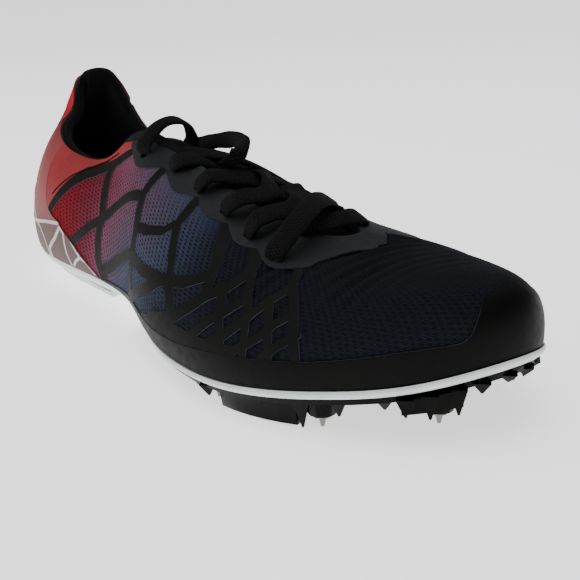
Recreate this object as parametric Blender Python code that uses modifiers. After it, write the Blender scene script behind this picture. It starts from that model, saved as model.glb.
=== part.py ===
"""Right track spike shoe, standing on its heel pad and its rear spikes.

Metres, +Z up, +X to the toe, +Y to the wearer's left (the inner side of a right shoe).
The origin is on the floor under the middle of the heel pad.

The upper is a ring of profiles. Station p runs once round the shoe: 0 at the back of the
heel, 0.25 at the outer waist, 0.5 at the toe, 0.75 at the inner waist. At each station the
profile is a cubic curve from the feather edge, where the upper meets the sole (t = 0), to
the edge of the collar or throat (t = 1). Every overlay is cut between two offsets of it.
"""

import math

import bmesh
import bpy
import numpy as np

MM = 0.001

# Driving sizes
LENGTH = 0.283            # upper, from heel to toe
BALL = 0.096              # width of the feather edge at the ball
INSTEP = 0.061            # outer throat edge above the heel seat
HEEL_STACK = 0.0090       # heel seat above the floor
TOE_SPRING = 0.0195       # toe above the heel seat
UPPER_WALL = 0.0016
OVERLAY = 0.0006          # thickness of a film overlay
INSET = 0.0006            # mesh of the upper inside the full size
GAP = 0.0003              # clearance between pieces that touch
LINING = 0.0034           # padding at the collar
RIM = 0.0028              # lining above the collar edge
TONGUE = 0.0022
INSOLE = 0.0025
STRIP = 0.0028            # foam midsole at the forefoot
STRIP_PROUD = 0.0008
HEEL_PAD = 0.0025
PLATE = 0.0020
TOOTH = 0.0060            # middling tooth of the plate, below the plate
TOOTH_SIDE = 0.0036
BOSS_RADIUS = 0.0050
THREAD = 0.0020           # screwed length of a spike
PIN = 0.0044              # spike below its boss
THREAD_RADIUS = 0.0026
SPIKE_COLLAR = 0.0032     # radius of a spike's key collar
PIN_RADIUS = 0.0011
PIN_TIP = 0.0006
EYELET_RADIUS = 0.0022
LACE_WIDTH = 0.0066
LACE = 0.0017
TUCK = 0.0008             # end of a lace from the throat edge
ARCH = 0.34               # handles of a lace, as a share of its span
ARCH_RISE = 0.30          # how far they leave the surface
PRESSED = 0.75            # a lace that passes under another, as a share of LACE
LOOP_RADIUS = 0.0013

# The origin, as shares of LENGTH and BALL from the back of the heel
HEEL_CENTRE = (0.115, -0.045)

# A station: feather edge (along, across), top edge (along, across, height), then the
# handles of the profile (out and up at the feather, towards the feather and down at the
# top). Along is a share of LENGTH, across, out and in of BALL, heights of INSTEP.
STATIONS = (
    # name              fx     fy      tx     ty     tz     out    up     in     down
    ("heel back",       0.010, 0.000,  0.070, 0.015, 1.240, 0.042, 0.330, 0.050, 0.295),
    ("heel corner out", 0.034, -0.197, 0.080, -0.090, 1.140, 0.050, 0.300, 0.083, 0.245),
    ("heel side out",   0.097, -0.320, 0.127, -0.185, 0.860, 0.050, 0.260, 0.115, 0.150),
    ("heel front out",  0.213, -0.342, 0.215, -0.225, 0.715, 0.057, 0.260, 0.125, 0.115),
    ("waist out",       0.364, -0.345, 0.305, -0.210, 0.810, 0.062, 0.330, 0.146, 0.150),
    ("shank out",       0.482, -0.422, 0.383, -0.170, 1.000, 0.062, 0.380, 0.177, 0.165),
    ("ball out",        0.604, -0.525, 0.493, -0.140, 0.895, 0.062, 0.430, 0.210, 0.130),
    ("toes out",        0.744, -0.535, 0.605, -0.110, 0.720, 0.057, 0.440, 0.240, 0.100),
    ("little toe",      0.862, -0.405, 0.690, -0.065, 0.630, 0.047, 0.475, 0.300, 0.100),
    ("toe front out",   0.947, -0.210, 0.728, -0.018, 0.605, 0.036, 0.510, 0.440, 0.100),
    ("toe tip",         0.988, 0.050,  0.740, 0.037, 0.605, 0.036, 0.525, 0.480, 0.115),
    ("toe front in",    0.956, 0.262,  0.732, 0.088, 0.610, 0.036, 0.510, 0.400, 0.130),
    ("great toe",       0.867, 0.405,  0.688, 0.122, 0.625, 0.042, 0.475, 0.265, 0.130),
    ("ball in",         0.729, 0.465,  0.600, 0.140, 0.665, 0.052, 0.440, 0.180, 0.125),
    ("ball back in",    0.597, 0.390,  0.483, 0.148, 0.735, 0.062, 0.430, 0.165, 0.130),
    ("arch",            0.449, 0.245,  0.372, 0.160, 0.800, 0.078, 0.410, 0.140, 0.150),
    ("waist in",        0.316, 0.212,  0.285, 0.185, 0.750, 0.083, 0.345, 0.100, 0.190),
    ("heel front in",   0.196, 0.236,  0.204, 0.205, 0.730, 0.062, 0.260, 0.083, 0.210),
    ("heel side in",    0.096, 0.230,  0.132, 0.187, 0.900, 0.052, 0.245, 0.083, 0.200),
    ("heel corner in",  0.033, 0.138,  0.086, 0.116, 1.175, 0.042, 0.300, 0.073, 0.260),
)

# Height of the seat: share of LENGTH, share of TOE_SPRING
SEAT = ((0.00, 0.00), (0.12, 0.026), (0.25, 0.051), (0.40, 0.087), (0.52, 0.138), (0.64, 0.108),
        (0.75, 0.138), (0.86, 0.323), (0.95, 0.590), (1.02, 1.000))

# How far the midsole stands out of the feather edge: share of LENGTH, share of STRIP_PROUD
PROUD_RUN = ((0.0, -0.4), (0.20, -0.6), (0.34, -2.4), (0.50, -1.8), (0.64, 1.0), (1.0, 1.0))

# Edges of the overlays: station, share of the profile
RAND_EDGE = ((0.195, 0.05), (0.24, 0.06), (0.30, 0.07), (0.322, 0.085), (0.344, 0.113),
             (0.362, 0.125), (0.40, 0.12), (0.455, 0.105), (0.466, 0.13), (0.478, 0.21),
             (0.49, 0.31), (0.505, 0.36), (0.53, 0.35), (0.545, 0.26), (0.56, 0.16),
             (0.60, 0.12), (0.66, 0.12), (0.70, 0.08), (0.805, 0.05))
EYESTAY_EDGE = ((0.232, 0.90), (0.287, 0.81), (0.318, 0.80), (0.342, 0.762), (0.366, 0.711),
                (0.398, 0.723), (0.412, 0.785), (0.426, 0.836), (0.45, 0.870), (0.48, 0.897),
                (0.50, 0.905), (0.525, 0.925), (0.55, 0.930), (0.575, 0.90), (0.588, 0.84),
                (0.602, 0.770), (0.634, 0.760), (0.658, 0.780), (0.682, 0.80), (0.713, 0.81),
                (0.768, 0.90))
SCALLOPS = (0.232, 0.287, 0.318, 0.342, 0.366, 0.398)
SCALLOP_DEPTH = 0.055     # share of the profile
COUNTER_EDGE = ((0.00, 0.86), (0.05, 0.85), (0.085, 0.80), (0.10, 0.62), (0.115, 0.45),
                (0.14, 0.37), (0.155, 0.35), (0.165, 0.27), (0.175, 0.17), (0.187, 0.05))
PANEL_EDGE = ((0.09, 0.80), (0.10, 0.66), (0.12, 0.47), (0.139, 0.52), (0.153, 0.68),
              (0.165, 0.81), (0.18, 0.91), (0.20, 0.925), (0.226, 0.90))
HEEL_TAB = (0.075, 0.89)  # half its run in p, lower edge

# Eyelets: station, share of the profile on the outer side, and on the inner side
EYELETS = ((0.259, 0.83, 0.86), (0.291, 0.87, 0.87), (0.315, 0.86, 0.87),
           (0.339, 0.835, 0.87), (0.360, 0.775, 0.87), (0.381, 0.69, 0.86))

# Spikes: share of LENGTH from the heel, share of BALL across, tip above the floor as a
# share of TOOTH. The rear pair carries the shoe.
SPIKES = ((0.703, -0.450, 0.0), (0.695, 0.330, 0.0), (0.842, -0.331, 0.08),
          (0.835, 0.300, 0.08), (0.936, -0.109, 0.75), (0.907, 0.286, 0.68))

# Teeth round the plate: station, inset from the feather edge as a share of BALL, depth as
# a share of TOOTH
TEETH = ((0.327, 0.062, 0.52), (0.339, 0.042, 0.55), (0.390, 0.062, 1.40), (0.4085, 0.062, 0.77),
         (0.432, 0.062, 0.48), (0.443, 0.031, 0.85), (0.455, 0.031, 1.15), (0.469, 0.031, 1.23),
         (0.4815, 0.031, 0.45), (0.500, 0.035, 0.30), (0.520, 0.035, 0.30), (0.545, 0.035, 0.25),
         (0.565, 0.047, 1.00), (0.590, 0.055, 1.10), (0.610, 0.062, 1.40), (0.661, 0.042, 0.55),
         (0.673, 0.062, 0.52))
# Ribs of the plate: first and last station, inset, depth at each end
RIBS = ((0.346, 0.388, 0.062, 0.95, 1.25), (0.441, 0.471, 0.031, 0.65, 0.80),
        (0.612, 0.654, 0.062, 1.25, 0.95))
# Inner studs of the plate: share of LENGTH, share of BALL
STUDS = ((0.66, -0.14), (0.66, 0.12), (0.76, -0.22), (0.76, 0.02), (0.76, 0.26), (0.86, -0.10),
         (0.86, 0.12))
STUD_DEPTH = 0.55

# Free lace loops, by hand: share of LENGTH, of BALL, of INSTEP above the heel seat
REAR_LOOP = (
    (0.4193, -0.2235, 0.9250), (0.419, -0.2390, 0.948), (0.417, -0.240, 0.985), (0.413, -0.218, 1.022), (0.410, -0.192, 1.050),
    (0.409, -0.164, 1.070), (0.409, -0.134, 1.082), (0.408, -0.104, 1.086), (0.408, -0.074, 1.080),
    (0.407, -0.046, 1.062), (0.406, -0.022, 1.034), (0.404, -0.002, 0.998), (0.401, 0.012, 0.960),
    (0.398, 0.0155, 0.914), (0.398, 0.0040, 0.8835))
FRONT_LOOP = (
    (0.3794, 0.0486, 0.8485), (0.380, 0.0650, 0.879), (0.380, 0.082, 0.925), (0.386, 0.086, 0.958), (0.398, 0.084, 0.986), (0.414, 0.080, 1.006),
    (0.432, 0.075, 1.020), (0.450, 0.068, 1.028), (0.469, 0.058, 1.032), (0.488, 0.048, 1.034),
    (0.507, 0.036, 1.032), (0.525, 0.023, 1.024), (0.540, 0.010, 1.008), (0.551, -0.006, 0.984),
    (0.5565, -0.024, 0.952), (0.559, -0.032, 0.920), (0.560, -0.0285, 0.880),
    (0.5586, -0.0305, 0.8475))

STEPS_ROUND = 60          # stations of a full ring
STEPS_UP = 9              # rows from the feather edge to the top edge
LOW_EDGE = 0.006          # overlays start this share above the feather edge


def periodic(values, p):
    """Smooth closed curve through evenly spaced values, read at p."""
    y = np.asarray(values, float)
    n = len(y)
    band = 4 * np.eye(n) + np.roll(np.eye(n), 1, 0) + np.roll(np.eye(n), -1, 0)
    slope = np.linalg.solve(band, 3 * (np.roll(y, -1) - np.roll(y, 1)))
    s = (np.asarray(p, float) % 1.0) * n
    i = np.floor(s).astype(int) % n
    j = (i + 1) % n
    s = s - np.floor(s)
    start = (1 + 2 * s) * (1 - s) ** 2 * y[i] + s * (1 - s) ** 2 * slope[i]
    return start + s * s * (3 - 2 * s) * y[j] + s * s * (s - 1) * slope[j]


def through(table, x):
    """Smooth open curve through a table of (x, y) rows."""
    xs, ys = np.array(table, float).T
    slope = np.gradient(ys, xs)
    x = np.asarray(x, float)
    i = np.clip(np.searchsorted(xs, x) - 1, 0, len(xs) - 2)
    h = xs[i + 1] - xs[i]
    s = (x - xs[i]) / h
    start = (1 + 2 * s) * (1 - s) ** 2 * ys[i] + s * (1 - s) ** 2 * h * slope[i]
    return start + s * s * (3 - 2 * s) * ys[i + 1] + s * s * (s - 1) * h * slope[i + 1]


def along(table, x):
    """Straight runs between the rows of a table."""
    xs, ys = np.array(table, float).T
    return np.interp(x, xs, ys)


def column(k, p):
    """Column k of the station table, read at p."""
    return periodic([row[k] for row in STATIONS], p)


def seat(share):
    """Height of the seat above the floor."""
    return HEEL_STACK + TOE_SPRING * through(SEAT, share)


def place(share_x, share_y, z):
    """A point from shares of LENGTH and BALL and a height."""
    x = (share_x - HEEL_CENTRE[0]) * LENGTH
    y = (share_y - HEEL_CENTRE[1]) * BALL
    return np.stack(np.broadcast_arrays(x, y, z), -1)


def feather(p):
    """The edge where the upper meets the sole."""
    fx = column(1, p)
    return place(fx, column(2, p), seat(fx))


def outward(p):
    """Level direction out of the feather edge."""
    step = 1e-4
    run = feather(p + step) - feather(p - step)
    n = np.stack([run[..., 1], -run[..., 0], 0 * run[..., 0]], -1)
    return n / np.linalg.norm(n, axis=-1, keepdims=True)


def profile(p, t):
    """Outer surface of the upper at station p and share t of its profile."""
    p, t = np.broadcast_arrays(np.asarray(p, float), np.asarray(t, float))
    foot = feather(p)
    top = place(column(3, p), column(4, p), HEEL_STACK + INSTEP * column(5, p))
    up = np.array([0.0, 0.0, 1.0])
    lean = (foot - top) * [1.0, 1.0, 0.0]
    lean = lean / np.linalg.norm(lean, axis=-1, keepdims=True)
    low = foot + outward(p) * (BALL * column(6, p))[..., None] + up * (INSTEP * column(7, p))[..., None]
    high = top + lean * (BALL * column(8, p))[..., None] - up * (INSTEP * column(9, p))[..., None]
    t = t[..., None]
    return (1 - t) ** 3 * foot + 3 * (1 - t) ** 2 * t * low + 3 * (1 - t) * t * t * high + t ** 3 * top


def normal(p, t):
    """Unit normal of the upper, pointing out."""
    step = 1e-4
    round_ = profile(p + step, t) - profile(p - step, t)
    rise = profile(p, t + step) - profile(p, t - step)
    n = np.cross(round_, rise)
    return n / np.linalg.norm(n, axis=-1, keepdims=True)


def skin(p, t, out):
    """The upper's surface moved out along its normal. The overlays bring it to full size."""
    out = np.broadcast_to(out - INSET, np.broadcast(p, t).shape)
    return profile(p, t) + normal(p, t) * out[..., None]


def finish(name, colour, roughness, metallic=0.0):
    """A plain material."""
    material = bpy.data.materials.new(name)
    material.use_nodes = True
    shader = material.node_tree.nodes["Principled BSDF"]
    shader.inputs["Base Color"].default_value = (*colour, 1.0)
    shader.inputs["Roughness"].default_value = roughness
    shader.inputs["Metallic"].default_value = metallic
    material.diffuse_color = (*colour, 1.0)
    return material


def add_object(name, mesh, material, collection="track_spike_shoe"):
    """Put a mesh in the scene as one named object."""
    obj = bpy.data.objects.new(name, mesh)
    bpy.data.collections[collection].objects.link(obj)
    if material:
        mesh.materials.append(material)
    mesh.shade_smooth()
    mesh.set_sharp_from_angle(angle=math.radians(40))
    return obj


def loft(name, rings, material, closed=False, collection="track_spike_shoe"):
    """Solid through rings of equal size. An open end that isn't a pole is closed across."""
    rings = np.asarray(rings)
    rows, size = rings.shape[:2]
    bm = bmesh.new()
    grid = [[bm.verts.new(point) for point in ring] for ring in rings]
    for i in range(rows if closed else rows - 1):
        j = (i + 1) % rows
        for k in range(size):
            m = (k + 1) % size
            bm.faces.new((grid[i][k], grid[j][k], grid[j][m], grid[i][m]))
    for end in () if closed else (0, -1):
        if np.linalg.norm(rings[end, 0] - rings[end, size // 2 - 1]) < 1e-5:
            continue
        for k in range((size - 1) // 2):
            corners = (k, k + 1, size - 2 - k, size - 1 - k)
            bm.faces.new([grid[end][m] for m in dict.fromkeys(corners)])
    bmesh.ops.remove_doubles(bm, verts=bm.verts, dist=1e-6)
    bmesh.ops.recalc_face_normals(bm, faces=bm.faces)
    mesh = bpy.data.meshes.new(name)
    bm.to_mesh(mesh)
    bm.free()
    return add_object(name, mesh, material, collection)


def rows(p, low, high):
    """Shares on the upper's own rows, held between the edges low and high of a piece."""
    low, high = np.broadcast_to(low, p.shape), np.broadcast_to(high, p.shape)
    share = np.linspace(0.0, 1.0, STEPS_UP + 1)
    return np.clip(share, low[:, None], high[:, None])


def wall(name, p, low, high, inner, outer, material, closed=False):
    """Shell between two offsets of the upper, from share low to share high at each station."""
    t = rows(p, low, high)
    inside = skin(p[:, None], t, inner)
    outside = skin(p[:, None], t, outer)
    return loft(name, np.concatenate([outside, inside[:, ::-1]], 1), material, closed)


def slab(name, p, corners, material):
    """Sole layer. Each corner is (share across, out from the feather edge, height by share)."""
    rows = []
    for across, out, height in corners:
        out = np.broadcast_to(out, p.shape)[:, None]
        outer_side = feather(p) + outward(p) * out
        inner_side = feather(1 - p) + outward(1 - p) * out
        point = outer_side * (1 - across) + inner_side * across
        point[:, 2] = height(point[:, 0] / LENGTH + HEEL_CENTRE[0])
        rows.append(point)
    return loft(name, np.stack(rows, 1), material)


def below_seat(depth):
    """Height function of a surface this far under the seat."""
    return lambda share: seat(share) - depth


def level(z):
    """Height function of a flat surface."""
    return lambda share: z + 0 * share


def modify(obj, cutter, operation):
    """Exact Boolean with a hidden helper."""
    cutter.hide_render = True
    cutter.display_type = "WIRE"
    boolean = obj.modifiers.new(cutter.name, "BOOLEAN")
    boolean.operation = operation
    boolean.solver = "EXACT"
    boolean.object = cutter


def cones(name, places, sides):
    """Upright cones and cylinders in one helper: (x, y, bottom, top, radius at each end)."""
    bm = bmesh.new()
    for x, y, bottom, top, low_radius, high_radius in places:
        made = bmesh.ops.create_cone(bm, cap_ends=True, segments=sides, radius1=low_radius,
                                     radius2=high_radius, depth=top - bottom)
        bmesh.ops.translate(bm, verts=made["verts"], vec=(x, y, (top + bottom) / 2))
    mesh = bpy.data.meshes.new(name)
    bm.to_mesh(mesh)
    bm.free()
    return add_object(name, mesh, None, "cutters")


def stations(first, last, extra=()):
    """Stations on the ring's own grid between two ends, with any extra ones."""
    grid = np.arange(-STEPS_ROUND, 2 * STEPS_ROUND) / STEPS_ROUND
    inside = grid[(grid > first + 0.004) & (grid < last - 0.004)]
    return np.unique(np.round(np.concatenate([[first, last], inside, extra]), 5))


def pad(p):
    """Thickness of the collar lining: full round the collar, thin along the throat."""
    away = np.minimum(p % 1.0, 1 - p % 1.0)
    return LINING * along(((0.0, 1.0), (0.20, 1.0), (0.25, 0.45), (0.30, 0.30), (0.5, 0.0)), away)


def make_upper():
    p = np.arange(STEPS_ROUND) / STEPS_ROUND
    upper = wall("upper", p, 0.0, 1.0, -UPPER_WALL, 0.0, FABRIC, closed=True)
    return upper


def eyelet_cutter():
    """Round punches through the upper and the eyestay, square to the surface."""
    bm = bmesh.new()
    for station, outer_share, inner_share in EYELETS:
        for p, t in ((station, outer_share), (1 - station, inner_share)):
            ring = []
            centre, axis = profile(p, t), normal(p, t)
            side = np.cross(axis, [1.0, 0.0, 0.0])
            side /= np.linalg.norm(side)
            other = np.cross(axis, side)
            for depth in (-3 * UPPER_WALL, 3 * UPPER_WALL):
                turn = np.arange(8) * math.tau / 8
                circle = centre + axis * depth + EYELET_RADIUS * (
                    np.cos(turn)[:, None] * side + np.sin(turn)[:, None] * other)
                ring.append([bm.verts.new(point) for point in circle])
            for k in range(8):
                m = (k + 1) % 8
                bm.faces.new((ring[0][k], ring[0][m], ring[1][m], ring[1][k]))
            bm.faces.new(ring[0])
            bm.faces.new(ring[1])
    bmesh.ops.recalc_face_normals(bm, faces=bm.faces)
    mesh = bpy.data.meshes.new("eyelet_punches")
    bm.to_mesh(mesh)
    bm.free()
    return add_object("eyelet_punches", mesh, None, "cutters")


def make_overlays():
    low, high = GAP, GAP + OVERLAY
    p = stations(RAND_EDGE[0][0], RAND_EDGE[-1][0], (0.478, 0.49, 0.505, 0.53, 0.545))
    wall("toe_rand", p, LOW_EDGE, along(RAND_EDGE, p), low, high, RAND_FILM)

    scallop_stations = []
    for first, last in zip(SCALLOPS, SCALLOPS[1:]):
        for share in (0.0, 0.2, 0.5, 0.8):
            scallop_stations.append(first + (last - first) * share)
    scallop_stations = np.array(scallop_stations + [SCALLOPS[-1]])
    front = np.linspace(0.41, 0.59, 13)
    p = np.unique(np.round(np.concatenate([scallop_stations, front, 1 - scallop_stations]), 5))
    near = np.minimum(p, 1 - p)
    edge = along(EYESTAY_EDGE, p)
    for first, last in zip(SCALLOPS, SCALLOPS[1:]):
        phase = np.clip((near - first) / (last - first), 0.0, 1.0)
        edge = edge - SCALLOP_DEPTH * np.sqrt(np.sin(np.pi * phase).clip(0.0))
    eyestay = wall("eyestay", p, edge, 1.0, low, high, STAY_FILM)

    p = stations(-COUNTER_EDGE[-1][0], COUNTER_EDGE[-1][0], [row[0] for row in COUNTER_EDGE])
    wall("heel_counter", p, LOW_EDGE, along(COUNTER_EDGE, np.abs(p)), low, high, COUNTER_FILM)

    p = stations(PANEL_EDGE[0][0], PANEL_EDGE[-1][0], [row[0] for row in PANEL_EDGE])
    wall("collar_panel_outer", p, along(PANEL_EDGE, p), 1.0, low, high, COLLAR_FILM)
    wall("collar_panel_inner", -p[::-1], along(PANEL_EDGE, p[::-1]), 1.0, low, high, COLLAR_FILM)

    p = stations(-HEEL_TAB[0], HEEL_TAB[0])
    wall("heel_tab", p, HEEL_TAB[1], 1.0, low, high, TAB_FILM)
    return eyestay


def make_lining():
    """Padded collar, with its round edge standing over the collar edge."""
    p = stations(-0.30, 0.30)
    away = np.abs(p)
    low = along(((0.0, 0.62), (0.14, 0.57), (0.20, 0.62), (0.24, 0.88), (0.30, 0.90)), away)
    rise = RIM * along(((0.0, 1.0), (0.24, 1.0), (0.30, 0.35)), away)
    thick = pad(p)
    back = UPPER_WALL + GAP
    edge = skin(p, 1.0, 0.0)
    face = normal(p, 1.0)
    climb = edge - skin(p, 0.98, 0.0)
    climb = climb / np.linalg.norm(climb, axis=-1, keepdims=True)

    def over(lift, inset):
        return edge + climb * (rise * lift)[:, None] - face * (back + inset * thick)[:, None]

    t = rows(p, low, 1.0)
    swell = thick[:, None] * np.interp(t, (0.6, 0.72, 1.0), (0.4, 1.0, 1.1))
    outside = skin(p[:, None], t, -back)
    inside = skin(p[:, None], t, -back - swell)[:, ::-1]
    crown = np.stack([over(0.75, -0.05), over(1.0, 0.35), over(0.75, 0.85)], 1)
    loft("collar_lining", np.concatenate([outside, crown, inside], 1), LINING_CLOTH)


def make_tongue():
    """Thin tongue, tucked under both sides of the throat and stitched ahead of it."""
    p = np.array([0.240, 0.262, 0.285, 0.308, 0.331, 0.354, 0.377, 0.400, 0.420, 0.440, 0.455])
    t = along(((0.24, 0.93), (0.33, 0.92), (0.40, 0.86), (0.455, 0.82)), p)
    deep = UPPER_WALL + pad(p) + 4 * GAP
    share = np.linspace(0.0, 1.0, 7)[None, :, None]
    sheets = []
    for extra in (0.0, TONGUE):
        a, b = skin(p, t, -deep - extra), skin(1 - p, t, -deep - extra)
        rise_a = (profile(p, t) - profile(p, t - 0.02)) * [0.0, 1.0, 1.0]
        rise_b = (profile(1 - p, t) - profile(1 - p, t - 0.02)) * [0.0, 1.0, 1.0]
        rise_a /= np.linalg.norm(rise_a, axis=-1, keepdims=True)
        rise_b /= np.linalg.norm(rise_b, axis=-1, keepdims=True)
        reach = np.linalg.norm(a - b, axis=-1, keepdims=True) * 0.30
        a, b, c, d = [v[:, None] for v in (a, b, a + rise_a * reach, b + rise_b * reach)]
        sheets.append((1 - share) ** 3 * a + 3 * (1 - share) ** 2 * share * c
                      + 3 * (1 - share) * share ** 2 * d + share ** 3 * b)
    loft("tongue", np.concatenate([sheets[0], sheets[1][:, ::-1]], 1), TONGUE_CLOTH)


def foam_bottom(share):
    """Underside of the midsole: flat on the heel pad, then up to the thin strip."""
    rear = 1 - np.clip((share - 0.29) / 0.15, 0.0, 1.0)
    rear = rear * rear * (3 - 2 * rear)
    return (HEEL_PAD + GAP) * rear + (seat(share) - STRIP) * (1 - rear)


def foam_side(share):
    """Height where the midsole's side turns under."""
    rear = 1 - np.clip((share - 0.29) / 0.15, 0.0, 1.0)
    return seat(share) - GAP - 0.72 * STRIP * (1 - rear) - 0.0022 * rear


def plate_top(share):
    """Height of the plate's upper face."""
    return foam_bottom(share) - GAP


def plate_bottom(share):
    """Height of the plate's underside."""
    return plate_top(share) - PLATE


def make_sole():
    full = np.arange(STEPS_ROUND // 2 + 1) / STEPS_ROUND
    spots = (0.0, 0.33, 0.67, 1.0)
    inner = -(UPPER_WALL + 3 * GAP)
    slab("insole", full, [(s, inner, below_seat(-INSOLE)) for s in spots]
         + [(s, inner, below_seat(0.0)) for s in spots[::-1]], INSOLE_FOAM)

    proud = STRIP_PROUD * along(PROUD_RUN, column(1, full))
    rear = 1 - np.clip((column(1, full) - 0.29) / 0.15, 0.0, 1.0)
    under = np.minimum(proud, 0.0) - 0.0010 - 0.0048 * rear
    lip = below_seat(GAP + 0.0006)
    inset = np.minimum(proud, 0.0) - 0.0008
    top = [(0.0, proud, lip)] + [(s, inset, below_seat(GAP)) for s in spots] + [(1.0, proud, lip)]
    low = [(1.0, proud, foam_side)] + [(s, under, foam_bottom) for s in spots[::-1]]
    slab("midsole", full, top + low + [(0.0, proud, foam_side)], MIDSOLE_FOAM)

    heel_run = np.linspace(0.0, 0.178, 15)
    spots = (0.0, 0.25, 0.5, 0.75, 1.0)
    heel = slab("heel_outsole", heel_run, [(s, -0.0064, level(HEEL_PAD)) for s in spots]
                + [(s, -0.0074, level(0.0)) for s in spots[::-1]], OUTSOLE_RUBBER)
    bm = bmesh.new()
    for groove in (-0.060, -0.030, 0.035, 0.065, 0.095):
        made = bmesh.ops.create_cube(bm, size=1.0)
        bmesh.ops.scale(bm, verts=made["verts"], vec=(2.0 * MM, BALL, 2.4 * MM))
        bmesh.ops.translate(bm, verts=made["verts"], vec=(groove * LENGTH, 0.0, 0.0))
    mesh = bpy.data.meshes.new("heel_grooves")
    bm.to_mesh(mesh)
    bm.free()
    modify(heel, add_object("heel_grooves", mesh, None, "cutters"), "DIFFERENCE")


def make_plate():
    """Hard spike plate with its teeth, studs, rib and spike bosses."""
    run = np.arange(14, STEPS_ROUND // 2 + 1) / STEPS_ROUND
    spots = (0.0, 0.33, 0.67, 1.0)
    plate = slab("spike_plate", run, [(s, -0.0016, plate_top) for s in spots]
                 + [(s, -0.0024, plate_bottom) for s in spots[::-1]], PLATE_PLASTIC)

    places = []
    for p, inset, depth in TEETH:
        x, y, _ = feather(p) - outward(p) * inset * BALL
        under = plate_bottom(x / LENGTH + HEEL_CENTRE[0])
        places.append((x, y, under - depth * TOOTH, under + PLATE / 2, 0.4 * MM, TOOTH_SIDE))
    for share_x, share_y in STUDS:
        x, y, _ = place(share_x, share_y, 0.0)
        under = plate_bottom(share_x)
        places.append((x, y, under - STUD_DEPTH * TOOTH, under + PLATE / 2, 0.8 * MM, TOOTH_SIDE))
    modify(plate, cones("plate_teeth", places, 4), "UNION")

    for number, (first, last, inset, deep, deeper) in enumerate(RIBS, 1):
        p = np.linspace(first, last, 6)
        middle, out = feather(p) - outward(p) * inset * BALL, outward(p)
        under = plate_bottom(middle[:, 0] / LENGTH + HEEL_CENTRE[0])
        foot = under - np.linspace(deep, deeper, 6) * TOOTH
        corners = []
        for wide, z in ((2.2, under + PLATE / 2), (-2.2, under + PLATE / 2), (-0.8, foot), (1.0, foot)):
            point = middle + out * wide * MM
            point[:, 2] = z
            corners.append(point)
        rib = loft(f"plate_rib_{number}", np.stack(corners, 1), None, collection="cutters")
        modify(plate, rib, "UNION")

    bosses, bores = [], []
    for share_x, share_y, tip in SPIKES:
        x, y, _ = place(share_x, share_y, 0.0)
        foot = tip * TOOTH + PIN
        top = plate_bottom(share_x) + PLATE / 2
        bosses.append((x, y, foot, top, BOSS_RADIUS * 0.85, BOSS_RADIUS))
        bores.append((x, y, foot - PIN, foot + THREAD + GAP, *[THREAD_RADIUS + GAP] * 2))
    modify(plate, cones("spike_bosses", bosses, 12), "UNION")
    modify(plate, cones("spike_bores", bores, 10), "DIFFERENCE")


def make_spikes():
    """Screw-in steel pins, all of one length. The rear pair stands on the floor."""
    for number, (share_x, share_y, tip) in enumerate(SPIKES, 1):
        x, y, _ = place(share_x, share_y, 0.0)
        tip = tip * TOOTH
        foot = tip + PIN
        outline = [(0.0, foot + THREAD), (THREAD_RADIUS, foot + THREAD),
                   (THREAD_RADIUS, foot - GAP), (SPIKE_COLLAR, foot - GAP),
                   (SPIKE_COLLAR * 0.9, foot - 1.1 * MM), (PIN_RADIUS * 1.25, foot - 1.1 * MM),
                   (PIN_TIP, tip), (0.0, tip)]
        mesh = bpy.data.meshes.new(f"spike_{number}")
        mesh.from_pydata([(r, 0.0, z) for r, z in outline],
                         [(k, k + 1) for k in range(len(outline) - 1)], [])
        spike = add_object(f"spike_{number}", mesh, SPIKE_STEEL)
        spike.location = (x, y, 0.0)
        turn = spike.modifiers.new("turned", "SCREW")
        turn.steps = turn.render_steps = 8
        turn.use_merge_vertices = True
        turn.merge_threshold = 1e-6


def strand_path(start, end):
    """Middle line of a lace from the top of one eyelet, arched over the throat.

    It ends on top of the far eyelet when end has a share, and else under the far edge.
    """
    (p, t), (far_p, far_t) = start, end
    lift = GAP + OVERLAY + 2 * GAP + LACE / 2
    a, face_a = skin(p, t, lift), normal(p, t)
    b, face_b = skin(far_p, far_t or 1.0, lift), normal(far_p, far_t or 1.0)
    if not far_t:
        climb = profile(far_p, 1.0) - profile(far_p, 0.98)
        b = skin(far_p, 1.0, -LACE / 2) + climb / np.linalg.norm(climb) * TUCK
    ways = []
    for face, chord in ((face_a, b - a), (face_b, a - b)):
        way = chord - face * np.dot(face, chord)
        ways.append(way / np.linalg.norm(way) + face * ARCH_RISE)
    reach = np.linalg.norm(a - b) * ARCH
    c, d = a + ways[0] * reach, b + ways[1] * reach
    s = np.linspace(0.0, 1.0, 9)[:, None]
    return (1 - s) ** 3 * a + 3 * (1 - s) ** 2 * s * c + 3 * (1 - s) * s * s * d + s ** 3 * b


def meet(one, other):
    """Raise or lower two laces so that they cross at one height."""
    s = np.linspace(0.0, 1.0, len(one))
    fine = np.linspace(0.0, 1.0, 81)
    dense = [np.stack([np.interp(fine, s, path[:, k]) for k in range(3)], 1) for path in (one, other)]
    apart = np.linalg.norm(dense[0][:, None, :2] - dense[1][None, :, :2], axis=2)
    spots = np.unravel_index(apart.argmin(), apart.shape)
    height = (dense[0][spots[0], 2] + dense[1][spots[1], 2]) / 2
    for path, spot, points in zip((one, other), spots, dense):
        bend = s * (1 - s) / (fine[spot] * (1 - fine[spot]))
        path[:, 2] += bend * (height - points[spot, 2])
    return one, other


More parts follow.
